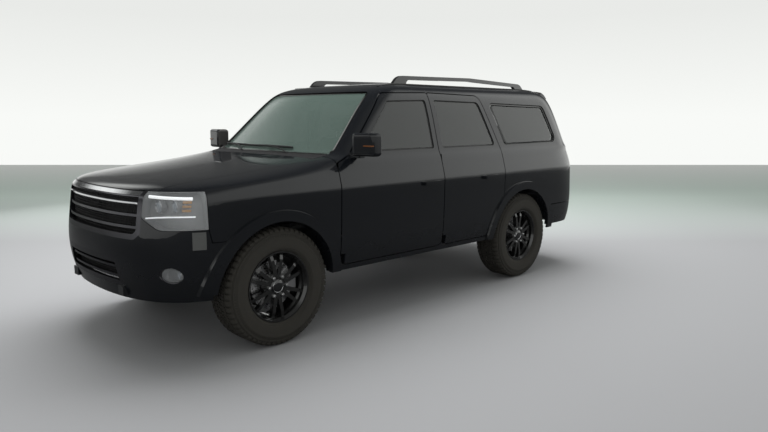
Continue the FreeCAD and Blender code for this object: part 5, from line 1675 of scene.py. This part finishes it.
# %% [markdown]
# ## Dashboard and the doors inside
# The construction model has the dashboard's form, the console, the column and the wheel. Here they get what
# the eye looks for through the glass: an instrument screen, a middle screen, air vents of thin vanes and a
# gear lever. Each door gets an armrest, a pull and a speaker ring, and a mirror hangs from the windshield.

# %% Instruments, vents and lever
dash_skin = surface_of("dashboard")
screen_glow = glowing("screen_glow", (0.05, 0.07, 0.09), 0.15)
before_dash_x = 0.64
vent_ys, vane_z, vane_wall, vane_pitch, vanes = (-0.62, -0.20, 0.20, 0.62), 1.078, 0.0025, 0.0066, 7


def dash_place(y, z):
    """The point of the dashboard straight ahead of a place in the cabin, or None."""
    return dash_skin.ray_cast(Vector((before_dash_x, y, z)), Vector(forwards))[0]


dash_parts = []
for y, z, half_y, half_z in ((0.375, 1.118, 0.150, 0.050), (0.0, 1.075, 0.120, 0.062)):
    place = dash_place(y, z)
    if place is not None:
        frame_y, frame_z = half_y + 0.008, half_z + 0.008
        dash_parts += [rounded_plate("screen_frame", place, frame_y, frame_z, 0.014, 0.012, gloss_black),
                       rounded_plate("screen", place - Vector((0.012, 0, 0)), half_y, half_z, 0.010, 0.0012,
                                     screen_glow)]
for y in vent_ys:
    place = dash_place(y, 1.10)
    if place is not None:
        dash_parts += [rounded_plate("vent_frame", place, 0.052, 0.030, 0.008, 0.008, black_plastic),
                       block_rows("vane", (place.x - 0.0125, y - 0.045, vane_z),
                                  (place.x - 0.0080, y + 0.045, vane_z + vane_wall), grey_plastic, vanes,
                                  (0, 0, vane_pitch))]
lever_x, above_console = 0.36, 1.4
lever_foot, _ = onto(dash_skin, (lever_x, 0.0, above_console), downwards)
lever = [lever_foot + Vector(offset) for offset in ((0, 0, -0.005), (-0.01, 0, 0.06), (-0.02, 0, 0.10))]
knob_outline = [(0.0, -0.030), (0.018, -0.026), (0.025, -0.004), (0.023, 0.020), (0.012, 0.032), (0.0, 0.034)]
knob = spun("knob", knob_outline, Vector((0, 0, 0)), seat_leather, 24, closed=False)
knob_place = Matrix.Translation(lever_foot + Vector((-0.022, 0, 0.118)))
knob.data.transform(knob_place @ Matrix.Rotation(-math.pi / 2, 4, "Y"))
dash_parts += [tube("lever", lever, 0.009, chrome, 10), knob]
dash_piece = merged("dash_fittings", dash_parts)
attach(dash_piece, "body")
print("dashboard fittings", len(dash_piece.data.polygons), "faces")

# %% Door cards
from_cabin_y, armrest_z, pull_z, pull_half, speaker_z = 0.45, 0.930, 1.060, 0.07, 0.700
card_lines = {"front": (0.05, 0.62, 0.15), "rear": (-0.62, -0.20, -0.34)}
for corner in car_corners:
    end, side_name = corner.split("_")
    side = sides[side_name]
    x_from, x_to, speaker_x = card_lines[end]
    card_skin = surface_of(f"door_{corner}")
    middle = (x_from + x_to) / 2

    def on_card(x, z):
        """The point of this door's inner side beside a place in the cabin."""
        return onto(card_skin, (x, side * from_cabin_y, z), (0, side, 0))[0]

    rest_line = [on_card(x, armrest_z) - Vector((0, side * 0.014, 0)) for x in shares(12, x_from, x_to)]
    pull = [on_card(middle - pull_half + 2 * pull_half * t, pull_z)
            - Vector((0, side * (0.004 + 0.016 * math.sin(math.pi * t)), 0)) for t in shares(10)]
    speaker = [(0.074, 0.0), (0.080, -side * 0.004), (0.084, 0.0)]
    card = merged(f"card_{corner}", [
        tube("armrest", rest_line, 0.020, seat_leather, 12), tube("pull", pull, 0.0055, chrome, 8),
        turned("speaker", speaker, on_card(speaker_x, speaker_z), black_plastic, 40)])
    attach(card, f"door_{corner}")
print("door cards ready")

# %% Cabin mirror on the glass
cabin_mirror_z = 1.640
inner_glass, _ = onto(glass_skin, (0.0, 0.0, cabin_mirror_z), forwards)
stalk = tube("stalk", [inner_glass - Vector((0.004, 0, 0)), inner_glass - Vector((0.045, 0, 0.020))], 0.009,
             cabin_plastic, 8)
housing = rounded_plate("cabin_mirror", inner_glass - Vector((0.050, 0, 0.028)), 0.120, 0.034, 0.026, 0.020,
                        cabin_plastic)
cabin_mirror = merged("cabin_mirror_piece", [stalk, housing])
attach(cabin_mirror, "body")
print("cabin ready")
